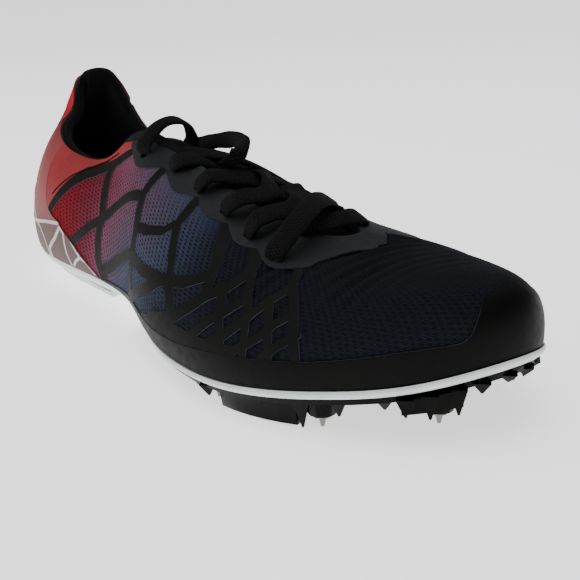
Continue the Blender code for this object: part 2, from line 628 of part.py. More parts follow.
def ribbon(name, path, start, end, thickness, collection="cutters"):
    """Flat lace along a path, its width along the edges of the throat."""
    s = np.linspace(0.0, 1.0, len(path))[:, None]
    run = np.gradient(path, axis=0)
    edge_a, edge_b = [profile(p + 0.01, 1.0) - profile(p - 0.01, 1.0) for p in (start[0], end[0])]
    wide = edge_a / np.linalg.norm(edge_a) * (1 - s) - edge_b / np.linalg.norm(edge_b) * s
    wide *= LACE_WIDTH / 2 * np.sign(0.5 - start[0])
    thick = np.cross(wide, run)
    thick *= np.sign(thick[:, 2:]) * thickness / 2 / np.linalg.norm(thick, axis=1, keepdims=True)
    ring = [path + wide * i + thick * j for i, j in ((-1, 1), (1, 1), (1, -1), (-1, -1))]
    material = None if collection == "cutters" else LACE_CLOTH
    return loft(name, np.stack(ring, 1), material, collection=collection)


def make_laces():
    """Front bar with its crossing, four more crossings, and the slack loops at the top."""
    outer = [(p, a) for p, a, b in EYELETS]
    inner = [(1 - p, b) for p, a, b in EYELETS]
    for k in range(len(EYELETS) - 1, 0, -1):
        pairs = ((outer[k], (inner[k - 1][0], None)), (inner[k], (outer[k - 1][0], None)))
        paths = meet(*[strand_path(*pair) for pair in pairs])
        crossing = ribbon(f"lace_crossing_{k}", paths[0], *pairs[0], LACE, "track_spike_shoe")
        modify(crossing, ribbon(f"strand_{k}", paths[1], *pairs[1], LACE * PRESSED), "UNION")
        if k == len(EYELETS) - 1:
            pair = [(p, share - 0.015) for p, share in (outer[k], inner[k])]
            modify(crossing, ribbon("strand_bar", strand_path(*pair), *pair, LACE), "UNION")

    for name, points in (("lace_loop_rear", REAR_LOOP), ("lace_loop_front", FRONT_LOOP)):
        curve = bpy.data.curves.new(name, "CURVE")
        curve.dimensions = "3D"
        curve.bevel_depth = LOOP_RADIUS
        curve.bevel_resolution = 2
        curve.use_fill_caps = True
        spline = curve.splines.new("POLY")
        spline.points.add(len(points) - 1)
        for point, (x, y, z) in zip(spline.points, points):
            point.co = (*place(x, y, HEEL_STACK + INSTEP * z), 1.0)
        obj = bpy.data.objects.new(name, curve)
        curve.materials.append(LACE_CLOTH)
        bpy.data.collections["track_spike_shoe"].objects.link(obj)


for old in list(bpy.data.objects):
    bpy.data.objects.remove(old, do_unlink=True)
for collection_name in ("track_spike_shoe", "cutters"):
    bpy.context.scene.collection.children.link(bpy.data.collections.new(collection_name))

FABRIC = finish("upper_mesh", (0.10, 0.04, 0.09), 0.8)
RAND_FILM = finish("rand_film", (0.015, 0.015, 0.016), 0.35)
STAY_FILM = finish("eyestay_film", (0.04, 0.04, 0.043), 0.55)
COUNTER_FILM = finish("counter_film", (0.30, 0.12, 0.12), 0.25)
COLLAR_FILM = finish("collar_film", (0.55, 0.06, 0.05), 0.4)
TAB_FILM = finish("tab_film", (0.60, 0.02, 0.06), 0.4)
LINING_CLOTH = finish("lining_cloth", (0.012, 0.013, 0.014), 0.9)
TONGUE_CLOTH = finish("tongue_cloth", (0.015, 0.015, 0.017), 0.9)
INSOLE_FOAM = finish("insole_foam", (0.03, 0.03, 0.032), 0.9)
MIDSOLE_FOAM = finish("midsole_foam", (0.75, 0.76, 0.77), 0.6)
OUTSOLE_RUBBER = finish("outsole_rubber", (0.55, 0.56, 0.56), 0.7)
PLATE_PLASTIC = finish("plate_plastic", (0.01, 0.012, 0.011), 0.2)
SPIKE_STEEL = finish("spike_steel", (0.75, 0.75, 0.74), 0.25, 1.0)
LACE_CLOTH = finish("lace_cloth", (0.012, 0.012, 0.013), 0.9)

shell = make_upper()
stay = make_overlays()
punches = eyelet_cutter()
modify(shell, punches, "DIFFERENCE")
modify(stay, punches, "DIFFERENCE")
make_lining()
make_tongue()
make_sole()
make_plate()
make_spikes()
make_laces()
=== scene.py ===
# %% [markdown]
# A track spike shoe, dressed for one picture and for a library.
#
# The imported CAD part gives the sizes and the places. This script loads it as a fixed frame
# and puts finished surfaces over it: printed mesh, bonded film, padded collar, laces, sole.
# Every surface of the upper comes from one function of two parameters, so all its layers
# follow one form: p runs once round the shoe, t from the sole to the collar or throat.

# %% Load the frame
import math

import bmesh
import bpy
import numpy as np
from mathutils import Matrix


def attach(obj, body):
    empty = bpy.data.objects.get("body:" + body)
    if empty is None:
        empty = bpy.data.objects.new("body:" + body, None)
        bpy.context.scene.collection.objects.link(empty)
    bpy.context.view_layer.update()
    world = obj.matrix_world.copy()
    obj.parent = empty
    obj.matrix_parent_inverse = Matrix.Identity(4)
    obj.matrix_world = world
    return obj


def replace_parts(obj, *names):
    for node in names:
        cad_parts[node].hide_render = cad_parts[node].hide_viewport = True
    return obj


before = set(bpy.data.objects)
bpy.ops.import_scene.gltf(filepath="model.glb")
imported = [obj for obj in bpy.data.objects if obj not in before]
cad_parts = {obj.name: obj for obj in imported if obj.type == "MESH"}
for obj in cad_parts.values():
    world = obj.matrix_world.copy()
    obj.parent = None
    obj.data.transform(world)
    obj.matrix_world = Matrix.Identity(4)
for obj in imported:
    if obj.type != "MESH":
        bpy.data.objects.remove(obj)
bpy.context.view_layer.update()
MM = 0.001
print("CAD nodes:", len(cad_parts))

# %% [markdown]
# The camera. Its numbers come from a fit, in which the outline, the
# collar, the eyelets and the spikes of the photo fell into place. A target point and an
# angle read more plainly than a matrix, so the matrix is worked out from them.

# %% Camera
VIEW_TURN = 56.11         # degrees round the shoe, from its outer side
VIEW_HEIGHT = 18.36
VIEW_ROLL = -2.92
VIEW_DISTANCE = 0.3697
VIEW_TARGET = (0.1449, 0.0043, 0.0201)
SENSOR = 36.0
LENS = 66.06


def view_axes(turn, height, roll):
    """Right, up and back of the camera: back from the two angles, then a roll about it."""
    a, e, c = np.radians([turn, height, roll])
    back = np.array([math.sin(a) * math.cos(e), -math.cos(a) * math.cos(e), math.sin(e)])
    level = np.array([math.cos(a), math.sin(a), 0.0])
    upright = np.cross(back, level)
    right = level * math.cos(c) + upright * math.sin(c)
    return right, np.cross(back, right), back


right, upright, back = view_axes(VIEW_TURN, VIEW_HEIGHT, VIEW_ROLL)
camera = bpy.data.objects.new("camera", bpy.data.cameras.new("camera"))
camera.data.sensor_width = SENSOR
camera.data.lens = LENS
camera.data.clip_start = 0.01
turned = np.eye(4)
turned[:3, :3] = np.stack([right, upright, back], 1)
turned[:3, 3] = np.array(VIEW_TARGET) + back * VIEW_DISTANCE
camera.matrix_world = Matrix(turned.tolist())
bpy.context.scene.collection.objects.link(camera)
bpy.context.scene.camera = camera
print("camera at", np.round(turned[:3, 3], 3))

# %% [markdown]
# The form of the upper. A last is measured in sections round the foot, and this one is the
# same: twenty stations, each with the point where the upper meets the sole, the point at
# the collar or throat edge, and how the side leaves the one and reaches the other. A
# smooth closed curve runs through each column, so a few rows give the whole surface. The
# numbers are the CAD part's own, but for the heel: there the soft padding moves the collar
# edge and the side below it, 5 mm at most, as the photo shows.

# %% The form of the upper
LENGTH = 0.283            # from heel to toe
BALL = 0.096              # width at the ball
INSTEP = 0.061            # throat edge above the heel seat
HEEL_STACK = 0.0090       # heel seat above the floor
TOE_SPRING = 0.0195       # toe above the heel seat
UPPER_WALL = 0.0016
INSET = 0.0006            # mesh inside the full size
HEEL_CENTRE = (0.115, -0.045)

# Foot point (along, across), top point (along, across, height), then the handles of the
# section: out and up at the foot, towards the foot and down at the top.
STATIONS = np.array((
    (0.010, 0.000, 0.070, 0.020, 1.212, 0.042, 0.330, 0.050, 0.295),     # heel back
    (0.034, -0.197, 0.080, -0.066, 1.130, 0.062, 0.300, 0.083, 0.245),
    (0.097, -0.320, 0.127, -0.206, 0.868, 0.062, 0.260, 0.115, 0.150),
    (0.213, -0.342, 0.215, -0.225, 0.755, 0.057, 0.260, 0.125, 0.115),
    (0.364, -0.345, 0.305, -0.210, 0.810, 0.062, 0.330, 0.146, 0.150),   # outer waist
    (0.482, -0.422, 0.383, -0.170, 1.000, 0.062, 0.380, 0.177, 0.165),
    (0.604, -0.525, 0.493, -0.140, 0.895, 0.062, 0.430, 0.210, 0.130),   # outer ball
    (0.744, -0.535, 0.605, -0.110, 0.720, 0.057, 0.440, 0.240, 0.100),
    (0.862, -0.405, 0.690, -0.065, 0.630, 0.047, 0.475, 0.300, 0.100),
    (0.947, -0.210, 0.728, -0.018, 0.605, 0.036, 0.510, 0.440, 0.100),
    (0.988, 0.050, 0.740, 0.037, 0.605, 0.036, 0.525, 0.480, 0.115),     # toe tip
    (0.956, 0.262, 0.732, 0.088, 0.610, 0.036, 0.510, 0.400, 0.130),
    (0.867, 0.405, 0.688, 0.122, 0.625, 0.042, 0.475, 0.265, 0.130),
    (0.729, 0.465, 0.600, 0.140, 0.665, 0.052, 0.440, 0.180, 0.125),     # inner ball
    (0.597, 0.390, 0.483, 0.148, 0.735, 0.062, 0.430, 0.165, 0.130),
    (0.449, 0.245, 0.372, 0.160, 0.800, 0.078, 0.410, 0.140, 0.150),     # arch
    (0.316, 0.212, 0.285, 0.185, 0.750, 0.083, 0.345, 0.100, 0.190),
    (0.196, 0.236, 0.204, 0.205, 0.730, 0.062, 0.260, 0.083, 0.210),
    (0.096, 0.230, 0.132, 0.187, 0.900, 0.052, 0.245, 0.083, 0.200),
    (0.033, 0.138, 0.086, 0.146, 1.180, 0.042, 0.300, 0.073, 0.260),
))
# Station, reach, shift across, drop of the edge, and how much more the side bulges below it
TAB_DIP = (0.068, 0.017, 0.028, 0.045, 0.060)
# Height of the seat: share of LENGTH, share of TOE_SPRING
SEAT = ((0.00, 0.00), (0.12, 0.026), (0.25, 0.051), (0.40, 0.087), (0.52, 0.138),
        (0.64, 0.108), (0.75, 0.138), (0.86, 0.323), (0.95, 0.590), (1.02, 1.000))


def hermite(a, b, slope_a, slope_b, s):
    """Cubic from a to b that leaves and arrives with the given slopes, at share s."""
    start = (1 + 2 * s) * (1 - s) ** 2 * a + s * (1 - s) ** 2 * slope_a
    return start + s * s * (3 - 2 * s) * b + s * s * (s - 1) * slope_b


def periodic(values, p):
    """Closed cubic spline through evenly spaced values: its slopes solve one cyclic system."""
    y = np.asarray(values, float)
    n = len(y)
    band = 4 * np.eye(n) + np.roll(np.eye(n), 1, 0) + np.roll(np.eye(n), -1, 0)
    slope = np.linalg.solve(band, 3 * (np.roll(y, -1) - np.roll(y, 1)))
    s = (np.asarray(p, float) % 1.0) * n
    i = np.floor(s).astype(int) % n
    j = (i + 1) % n
    return hermite(y[i], y[j], slope[i], slope[j], s - np.floor(s))


def through(table, x):
    """Open cubic curve through (x, y) rows, with slopes by central differences."""
    xs, ys = np.array(table, float).T
    slope = np.gradient(ys, xs)
    i = np.clip(np.searchsorted(xs, x) - 1, 0, len(xs) - 2)
    h = xs[i + 1] - xs[i]
    return hermite(ys[i], ys[i + 1], h * slope[i], h * slope[i + 1], (x - xs[i]) / h)


def along(table, x):
    """Straight runs between the rows of a table."""
    xs, ys = np.array(table, float).T
    return np.interp(x, xs, ys)


def seat(share):
    """Height of the seat above the floor, by share of LENGTH."""
    return HEEL_STACK + TOE_SPRING * through(SEAT, np.asarray(share, float))


def place(share_x, share_y, z):
    """A point from shares of LENGTH and BALL and a height."""
    x = (share_x - HEEL_CENTRE[0]) * LENGTH
    y = (share_y - HEEL_CENTRE[1]) * BALL
    return np.stack(np.broadcast_arrays(x, y, z), -1)


def unit(v):
    """v divided by its length."""
    return v / np.linalg.norm(v, axis=-1, keepdims=True)


def cubic(a, b, c, d, s):
    """Curve from a to d with handles b and c, at share s."""
    return (1 - s) ** 3 * a + 3 * (1 - s) ** 2 * s * b + 3 * (1 - s) * s * s * c + s ** 3 * d


def distance(path):
    """Length along a path up to each of its points."""
    return np.concatenate([[0], np.cumsum(np.linalg.norm(np.diff(path, axis=0), axis=1))])


def columns(p):
    """All nine columns of the stations, read at p. Beside the heel tab the outer collar
    edge dips and runs inwards, by a bell curve too narrow for the stations."""
    read = np.stack([periodic(column, p) for column in STATIONS.T])
    station, reach, shift, drop, bulge = TAB_DIP
    bell = np.exp(-(((np.asarray(p) - station + 0.5) % 1.0 - 0.5) / reach) ** 2)
    read[3] += shift * bell
    read[4] -= drop * bell
    read[7] += bulge * bell
    read[8] -= drop * bell
    return read


def feather(p):
    """The edge where the upper meets the sole."""
    fx, fy = (periodic(STATIONS[:, k], p) for k in (0, 1))
    return place(fx, fy, seat(fx))


def outward(p):
    """Level direction out of the feather edge: its run turned by a right angle."""
    run = feather(p + 1e-4) - feather(p - 1e-4)
    return unit(np.stack([run[..., 1], -run[..., 0], 0 * run[..., 0]], -1))


def profile(p, t):
    """Full-size surface: a cubic curve from the foot point to the top point, its handles
    out and up from the foot, and towards the foot and down from the top."""
    p, t = np.broadcast_arrays(np.asarray(p, float), np.asarray(t, float))
    rows, where = np.unique(p, return_inverse=True)
    fx, fy, tx, ty, tz, out, up, lean_in, down = columns(rows)
    foot = place(fx, fy, seat(fx))
    top = place(tx, ty, HEEL_STACK + INSTEP * tz)
    lean = unit((foot - top) * [1.0, 1.0, 0.0])
    rise = np.array([0.0, 0.0, 1.0])
    low = foot + outward(rows) * (BALL * out)[:, None] + rise * (INSTEP * up)[:, None]
    high = top + lean * (BALL * lean_in)[:, None] - rise * (INSTEP * down)[:, None]
    foot, low, high, top = (v[where.reshape(p.shape)] for v in (foot, low, high, top))
    return cubic(foot, low, high, top, t[..., None])


def normal(p, t):
    """Unit normal pointing out: the run round the shoe crossed with the run up it."""
    step = 1e-4
    round_ = profile(p + step, t) - profile(p - step, t)
    return unit(np.cross(round_, profile(p, t + step) - profile(p, t - step)))


def skin(p, t, out):
    """The surface of the mesh moved out along its normal."""
    out = np.broadcast_to(out - INSET, np.broadcast(p, t).shape)
    return profile(p, t) + normal(p, t) * out[..., None]


GIRTH = distance(profile(np.linspace(0, 1, 400), 0.35))[-1]
print(f"once round the shoe: {GIRTH * 1000:.0f} mm")

# %% [markdown]
# Two ways to make a mesh serve for everything soft here. A loft joins rings of points, for
# a lace, a padded edge or a sole layer. A layer is cut from the upper's own surface, for
# cloth and film: a field says how far each point of a fine grid lies inside the shape, the
# triangles are cut along its zero line, and the sheet gets a back and a side wall. A cut
# along a smooth field has clean edges at any angle, which grid cells alone would not give.

# %% Mesh helpers
SMOOTH = math.radians(40)


def add_uv(mesh, uv):
    """UV map from one pair of numbers for each point."""
    ends = np.empty(len(mesh.loops), np.int32)
    mesh.loops.foreach_get("vertex_index", ends)
    uv_map = mesh.uv_layers.new(name="cloth")
    uv_map.data.foreach_set("uv", np.asarray(uv, np.float32)[ends].ravel())


def add_object(name, mesh):
    """Object at the origin that rides on the shoe, smooth but for its sharp edges."""
    mesh.shade_smooth()
    mesh.set_sharp_from_angle(angle=SMOOTH)
    obj = bpy.data.objects.new(name, mesh)
    bpy.context.scene.collection.objects.link(obj)
    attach(obj, "root")
    return obj


def grid_quads(rows, size, closed_rows=False, closed_ring=True):
    """Quads between the rows of a grid of points, numbered row by row."""
    i = np.arange(rows if closed_rows else rows - 1)[:, None]
    k = np.arange(size if closed_ring else size - 1)[None, :]
    j, m = (i + 1) % rows, (k + 1) % size
    corners = np.broadcast_arrays(i * size + k, j * size + k, j * size + m, i * size + m)
    return np.stack(corners, -1).reshape(-1, 4)


def loft(name, rings, material, uv, caps=True):
    """Skin over rings of equal size, each end closed by a fan about its middle. Without
    caps, the first and the last ring have to run out to a line."""
    rings = np.asarray(rings, float)
    rows, size = rings.shape[:2]
    points = rings.reshape(-1, 3)
    quads = grid_quads(rows, size)
    fans = []
    if caps:
        for end, turn in ((0, 1), (rows - 1, -1)):
            hub = len(points)
            points = np.concatenate([points, rings[end].mean(0)[None]])
            uv = np.concatenate([uv, uv[end * size][None]])
            k = end * size + np.arange(size)
            fan = np.stack([np.full(size, hub), k, end * size + (np.arange(size) + 1) % size], 1)
            fans.append(fan[:, ::turn])
    faces = quads.tolist() + [row for fan in fans for row in fan.tolist()]
    mesh = bpy.data.meshes.new(name)
    mesh.from_pydata(points.tolist(), [], faces)
    mesh.materials.append(material)
    add_uv(mesh, uv)
    outward_faces(mesh)
    return add_object(name, mesh)


def outward_faces(mesh):
    """Merge doubles, and turn the faces of a closed mesh outwards."""
    bm = bmesh.new()
    bm.from_mesh(mesh)
    bmesh.ops.remove_doubles(bm, verts=bm.verts, dist=1e-7)
    bmesh.ops.recalc_face_normals(bm, faces=bm.faces)
    bm.to_mesh(mesh)
    bm.free()


def cut(triangles, value):
    """Triangles where value is above zero. A triangle that the zero line crosses is cut
    there: returns the new triangles, and for each new point its two ends and its share."""
    inside = value > 0
    count = inside[triangles].sum(1)
    one, two = triangles[count == 1], triangles[count == 2]
    turn = np.arange(3)
    one = np.take_along_axis(one, (inside[one].argmax(1)[:, None] + turn) % 3, 1)
    two = np.take_along_axis(two, (inside[two].argmin(1)[:, None] + turn) % 3, 1)
    ends = np.concatenate([one[:, [0, 1]], one[:, [0, 2]], two[:, [0, 1]], two[:, [0, 2]]])
    ends, where = np.unique(np.sort(ends, 1), axis=0, return_inverse=True)
    where = where.reshape(-1) + len(value)
    a, b, c, d = np.split(where, np.cumsum([len(one), len(one), len(two)]))
    share = value[ends[:, 0]] / (value[ends[:, 0]] - value[ends[:, 1]])
    made = [triangles[count == 3], np.stack([one[:, 0], a, b], 1),
            np.stack([c, two[:, 1], two[:, 2]], 1), np.stack([c, two[:, 2], d], 1)]
    return np.concatenate(made), ends, share


def layer(name, p, t, field, low, high, materials, round_=False):
    """Sheet of cloth or film between two offsets of the upper, where field is above zero.

    The first material covers it, the last one its cut edge. The high offset may be a
    function of p and t.
    """
    grid_p, grid_t = np.meshgrid(p, t, indexing="ij")
    flat_p, flat_t = grid_p.ravel(), grid_t.ravel()
    value = field(flat_p, flat_t)
    quads = grid_quads(len(p), len(t), round_, False)
    triangles = np.concatenate([quads[:, [0, 1, 2]], quads[:, [0, 2, 3]]])
    triangles, ends, share = cut(triangles, value)
    cut_p = flat_p[ends[:, 0]] * (1 - share) + flat_p[ends[:, 1]] * share
    cut_t = flat_t[ends[:, 0]] * (1 - share) + flat_t[ends[:, 1]] * share
    all_p, all_t = np.concatenate([flat_p, cut_p]), np.concatenate([flat_t, cut_t])
    used, triangles = np.unique(triangles, return_inverse=True)
    triangles = triangles.reshape(-1, 3)
    all_p, all_t = all_p[used], all_t[used]

    size = len(all_p)
    edges = np.concatenate([triangles[:, [0, 1]], triangles[:, [1, 2]], triangles[:, [2, 0]]])
    code, back_code = edges[:, 0] * size + edges[:, 1], edges[:, 1] * size + edges[:, 0]
    rim = edges[~np.isin(back_code, code)]
    wall = np.stack([rim[:, 1], rim[:, 0], rim[:, 0] + size, rim[:, 1] + size], 1)
    wall = np.concatenate([wall[:, [0, 1, 2]], wall[:, [0, 2, 3]]])

    base, face = profile(all_p, all_t), normal(all_p, all_t)
    top = (high(all_p, all_t) if callable(high) else high) - INSET
    upper_side = base + face * np.broadcast_to(top, size)[:, None]
    points = np.concatenate([upper_side, base + face * (low - INSET)])
    covers = np.concatenate([triangles, triangles[:, ::-1] + size])
    mesh = bpy.data.meshes.new(name)
    mesh.from_pydata(points.tolist(), [], covers.tolist() + wall.tolist())
    for material in materials:
        mesh.materials.append(material)
    slots = np.repeat(np.arange(2), [len(covers), len(wall)])
    mesh.polygons.foreach_set("material_index", slots.astype(np.int32))
    add_uv(mesh, np.tile(np.stack([all_p * GIRTH, arc_up(all_p, all_t)], 1), (2, 1)))
    shade = np.tile(print_fade_and_shade(upper_side), 2).astype(np.float32)
    mesh.attributes.new("shade", "FLOAT", "POINT").data.foreach_set("value", shade)
    mesh.update()
    return add_object(name, mesh)


def arc_up(p, t):
    """Length of the section from the sole up to t, by ten chords."""
    s = np.linspace(0, 1, 11)
    chain = profile(np.asarray(p)[:, None], np.asarray(t)[:, None] * s)
    return np.linalg.norm(np.diff(chain, axis=1), axis=2).sum(1)


PRINT_SLANT = (0.557, 0.829)     # share of the way forward, and of the way out from the middle
PRINT_MIDDLE = 0.003
PRINT_START, PRINT_RUN = 0.042, 0.118
# Below LOW_HEIGHT the fade runs further on, darker and bluer: partly the print, partly painted shade.
LOW_HEIGHT, LOW_FADE_AND_SHADE = 0.050, 8


def print_fade_and_shade(points):
    """Where a point lies in the fade, 0 at the heel and 1 at the ball: a slant of its place
    along the shoe and its distance from the middle, further on lower down. That lower run,
    darker and bluer, is partly the print and partly painted shade."""
    side = np.abs(points[:, 1] - PRINT_MIDDLE)
    slant = points[:, 0] * PRINT_SLANT[0] - side * PRINT_SLANT[1]
    slant = (slant + PRINT_START) / PRINT_RUN
    low = np.maximum(LOW_HEIGHT - points[:, 2], 0) * LOW_FADE_AND_SHADE
    return slant + np.clip((slant - 0.25) / 0.3, 0, 1) * low


# %% [markdown]
# Finishes. A colour is noted as it looks on a screen and turned into the linear value that
# a shader takes. Patterns read the piece's own UV map, in metres along the surface, so a
# thread is the same size on every piece.

# %% Material helpers
def screen(red, green, blue):
    """Linear colour of a screen colour given from 0 to 255."""
    c = np.array([red, green, blue]) / 255
    return (*np.where(c < 0.04045, c / 12.92, ((c + 0.055) / 1.055) ** 2.4), 1.0)


def dimmed(colour, share):
    """The same colour, darker by a share."""
    return (*(c * share for c in colour[:3]), 1.0)


def node(tree, kind, inputs=None, **settings):
    """A shader node: inputs take a number, a colour or another node's output."""
    made = tree.nodes.new("ShaderNode" + kind)
    for key, value in settings.items():
        setattr(made, key, value)
    for key, value in (inputs or {}).items():
        if isinstance(value, bpy.types.NodeSocket):
            tree.links.new(value, made.inputs[key])
        else:
            made.inputs[key].default_value = value
    return made


def maths(tree, operation, a, b=0.0):
    """One Math node's output."""
    return node(tree, "Math", {0: a, 1: b}, operation=operation).outputs[0]


def between(tree, value, low, high, to_low=0.0, to_high=1.0):
    """A value carried from one range to another and held there."""
    inputs = {"Value": value, "From Min": low, "From Max": high, "To Min": to_low, "To Max": to_high}
    return node(tree, "MapRange", inputs, clamp=True).outputs[0]


def mix(tree, share, a, b):
    """Colour a where share is 0, and b where it is 1."""
    made = node(tree, "Mix", data_type="RGBA")
    for key, value in ((0, share), (6, a), (7, b)):
        if isinstance(value, bpy.types.NodeSocket):
            tree.links.new(value, made.inputs[key])
        else:
            made.inputs[key].default_value = value
    return made.outputs[2]


def ramp(tree, value, stops):
    """Colours through stops of (place, colour)."""
    made = node(tree, "ValToRGB", {0: value})
    while len(made.color_ramp.elements) < len(stops):
        made.color_ramp.elements.new(0.5)
    for element, (where, colour) in zip(made.color_ramp.elements, stops):
        element.position = where
        element.color = colour
    return made.outputs[0]


def finish(name, colour, roughness, **sockets):
    """Material with one Principled shader. Returns the material, its tree and the shader."""
    material = bpy.data.materials.new(name)
    material.use_nodes = True
    shader = material.node_tree.nodes["Principled BSDF"]
    shader.inputs["Base Color"].default_value = colour
    shader.inputs["Roughness"].default_value = roughness
    for key, value in sockets.items():
        shader.inputs[key.replace("_", " ")].default_value = value
    material.diffuse_color = colour
    return material, material.node_tree, shader


def paint(tree, shader, pattern, socket="Base Color"):
    """A pattern led to a socket of the shader."""
    tree.links.new(pattern, shader.inputs[socket])


def wave(tree, length, pitch):
    """Sine of a length, one wave to each pitch."""
    return maths(tree, "SINE", maths(tree, "MULTIPLY", length, math.tau / pitch))


def weave_uv(tree, turn=0.0):
    """The UV map, turned, as separate u and v."""
    uv = node(tree, "UVMap", uv_map="cloth").outputs[0]
    turned = node(tree, "Mapping", {"Vector": uv, "Rotation": (0, 0, math.radians(turn))}).outputs[0]
    split = node(tree, "SeparateXYZ", {0: turned})
    return split.outputs[0], split.outputs[1]


def bump(tree, shader, height, depth, strength=1.0):
    """Relief of a height from 0 to 1, that deep in metres."""
    made = node(tree, "Bump", {"Strength": strength, "Distance": depth, "Height": height})
    tree.links.new(made.outputs[0], shader.inputs["Normal"])


def grain(tree, scale, detail=3.0, stretch=(1.0, 1.0, 1.0)):
    """Noise on the piece's own place, from 0 to 1."""
    place_ = node(tree, "TexCoord").outputs["Object"]
    moved = node(tree, "Mapping", {"Vector": place_, "Scale": stretch}).outputs[0]
    return node(tree, "TexNoise", {"Vector": moved, "Scale": scale, "Detail": detail}).outputs[0]


# %% [markdown]
# Lace cloth. A flat lace is a braid: two sets of yarns run slantwise and cross, so its face
# shows small V shapes. Two waves of opposite slant, of which the higher one is on top,
# give that in one bump, without a picture.

# %% Lace cloth
BRAID = 0.0011            # from one yarn of the lace to the next


def lace_cloth():
    """Black braid: the higher of two slanting waves, rough and slightly fuzzy, with painted shade: darker
    where the braid is low.
    """
    made, tree, shader = finish("lace_cloth", screen(10, 10, 10), 0.9, Sheen_Weight=0.03,
                                Sheen_Roughness=0.5, Specular_IOR_Level=0.12)
    u, v = weave_uv(tree)
    left, right_ = (wave(tree, maths(tree, way, u, v), BRAID) for way in ("ADD", "SUBTRACT"))
    height = between(tree, maths(tree, "MAXIMUM", left, right_), -0.6, 1.0)
    # Painted shade: the low parts between the yarns are coloured darker.
    paint(tree, shader, mix(tree, height, screen(2, 2, 2), screen(11, 12, 11)))
    bump(tree, shader, height, 0.00035)
    return made


LACE_CLOTH = lace_cloth()


# %% [markdown]
# Slack loops. Two bights of lace stand up from the throat, hanging free between two hidden
# ends. Each point of a route was read off the photo by eye, which fixes two coordinates;
# how far across the throat the lace must lie there was judged, and a ray from the camera
# above, worked out beside this script, gave the numbers kept here. The lace is a flat ring
# of points carried along the route, and its broad side turns on the way, as it does on a
# lace that is pushed up and not pulled tight.

# %% Slack loops
LACE_WIDTH = 0.0065
LACE_THICK = 0.0016
# Route: share of LENGTH, of BALL, of INSTEP above the heel seat
REAR_LOOP = (
    (0.4215, -0.2290, 0.9040), (0.428, -0.240, 0.945), (0.434, -0.219, 1.008),
    (0.431, -0.181, 1.049), (0.428, -0.135, 1.072), (0.426, -0.085, 1.069),
    (0.422, -0.042, 1.034), (0.412, -0.008, 0.978), (0.401, 0.012, 0.914),
    (0.398, 0.0040, 0.8835))
FRONT_LOOP = (
    (0.3794, 0.0486, 0.8485), (0.380, 0.072, 0.858), (0.390, 0.084, 0.872),
    (0.412, 0.080, 0.890), (0.440, 0.066, 0.918), (0.486, 0.040, 0.956),
    (0.525, 0.010, 0.978), (0.547, -0.018, 0.966), (0.550, -0.040, 0.934),
    (0.542, -0.056, 0.895), (0.530, -0.066, 0.860))


def smooth_path(points, count):
    """Cubic through points, spaced evenly by length. Slopes are central differences."""
    points = np.asarray(points, float)
    at = distance(points)
    fine = np.linspace(0, at[-1], 16 * len(points))
    dense = np.stack([through(np.stack([at, points[:, k]], 1), fine) for k in range(3)], 1)
    run = distance(dense)
    even = np.linspace(0, run[-1], count)
    return np.stack([np.interp(even, run, dense[:, k]) for k in range(3)], 1), run[-1]


def flat_ring(path, wide, width, thick, sides=16):
    """Rings of a flat lace: a rounded flat oval, across by width and up by thickness, with
    its across direction square to the path."""
    run = unit(np.gradient(path, axis=0))
    wide = unit(wide - run * (wide * run).sum(1, keepdims=True))
    up = np.cross(run, wide)
    turn = np.arange(sides) * math.tau / sides
    c, s = np.cos(turn), np.sin(turn)
    oval_c = np.sign(c) * np.abs(c) ** 0.55
    oval_s = np.sign(s) * np.abs(s) ** 0.8
    width, thick = (np.broadcast_to(v, len(path))[:, None, None] for v in (width, thick))
    across = wide[:, None] * (oval_c[None, :, None] * width / 2)
    return path[:, None] + across + up[:, None] * (oval_s[None, :, None] * thick / 2), c


def lace(name, path, wide, width=LACE_WIDTH, thick=LACE_THICK):
    """Lace along an even path. UV: along the path, and across the face."""
    rings, across = flat_ring(path, wide, width, thick)
    uv = np.stack(np.broadcast_arrays(distance(path)[:, None], across[None] * LACE_WIDTH / 2), -1)
    return loft(name, rings, LACE_CLOTH, uv.reshape(-1, 2))


def spread(rows, count):
    """Rows of numbers spread evenly over that many steps, with straight blends between."""
    at = np.linspace(0, len(rows) - 1, count)
    return np.stack([np.interp(at, range(len(rows)), column) for column in np.transpose(rows)], 1)


def routed(route):
    """Points in metres of a route given in shares."""
    across, over, height = np.array(route).T
    return place(across, over, HEEL_STACK + INSTEP * height)


def free_loop(name, route, directions, width):
    """A slack loop: its broad side turns through the given directions along the way."""
    path, length = smooth_path(routed(route), 80)
    s = np.linspace(0, 1, len(path))
    uneven = width * (1 + 0.05 * np.sin(17 * s + width * 9000))
    made = lace(name, path, spread(directions, len(path)), uneven, LACE_THICK * 1.15)
    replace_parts(made, name.replace("slack", "lace"))
    print(f"{name}: {length * 1000:.1f} mm")
    return made


free_loop("slack_loop_rear", REAR_LOOP,
          ((0.8, 0.45, 0.0), (0.85, 0.3, -0.2), (0.95, 0.0, -0.3), (0.95, 0.1, -0.2), (0.9, 0.3, 0.0)),
          0.0060)
free_loop("slack_loop_front", FRONT_LOOP,
          ((0.2, 0.7, 0.6), (0.0, 0.3, 0.95), (0.0, 0.3, 0.95), (0.2, 0.5, 0.6), (0.6, 0.8, 0.1)),
          0.0062)

# %% [markdown]
# Crossing laces. Each lace comes up through an eyelet, runs across the throat and dives
# under the far edge. Those from the outer eyelets lie on top in the photo, and each has
# its own slack: it bulges towards the toe and curls back over. Their routes were found as
# those of the loops were. Those from the inner eyelets lie below, nearly hidden, so a cubic
# curve is enough: two points in the hole, an arch, two points under the edge.

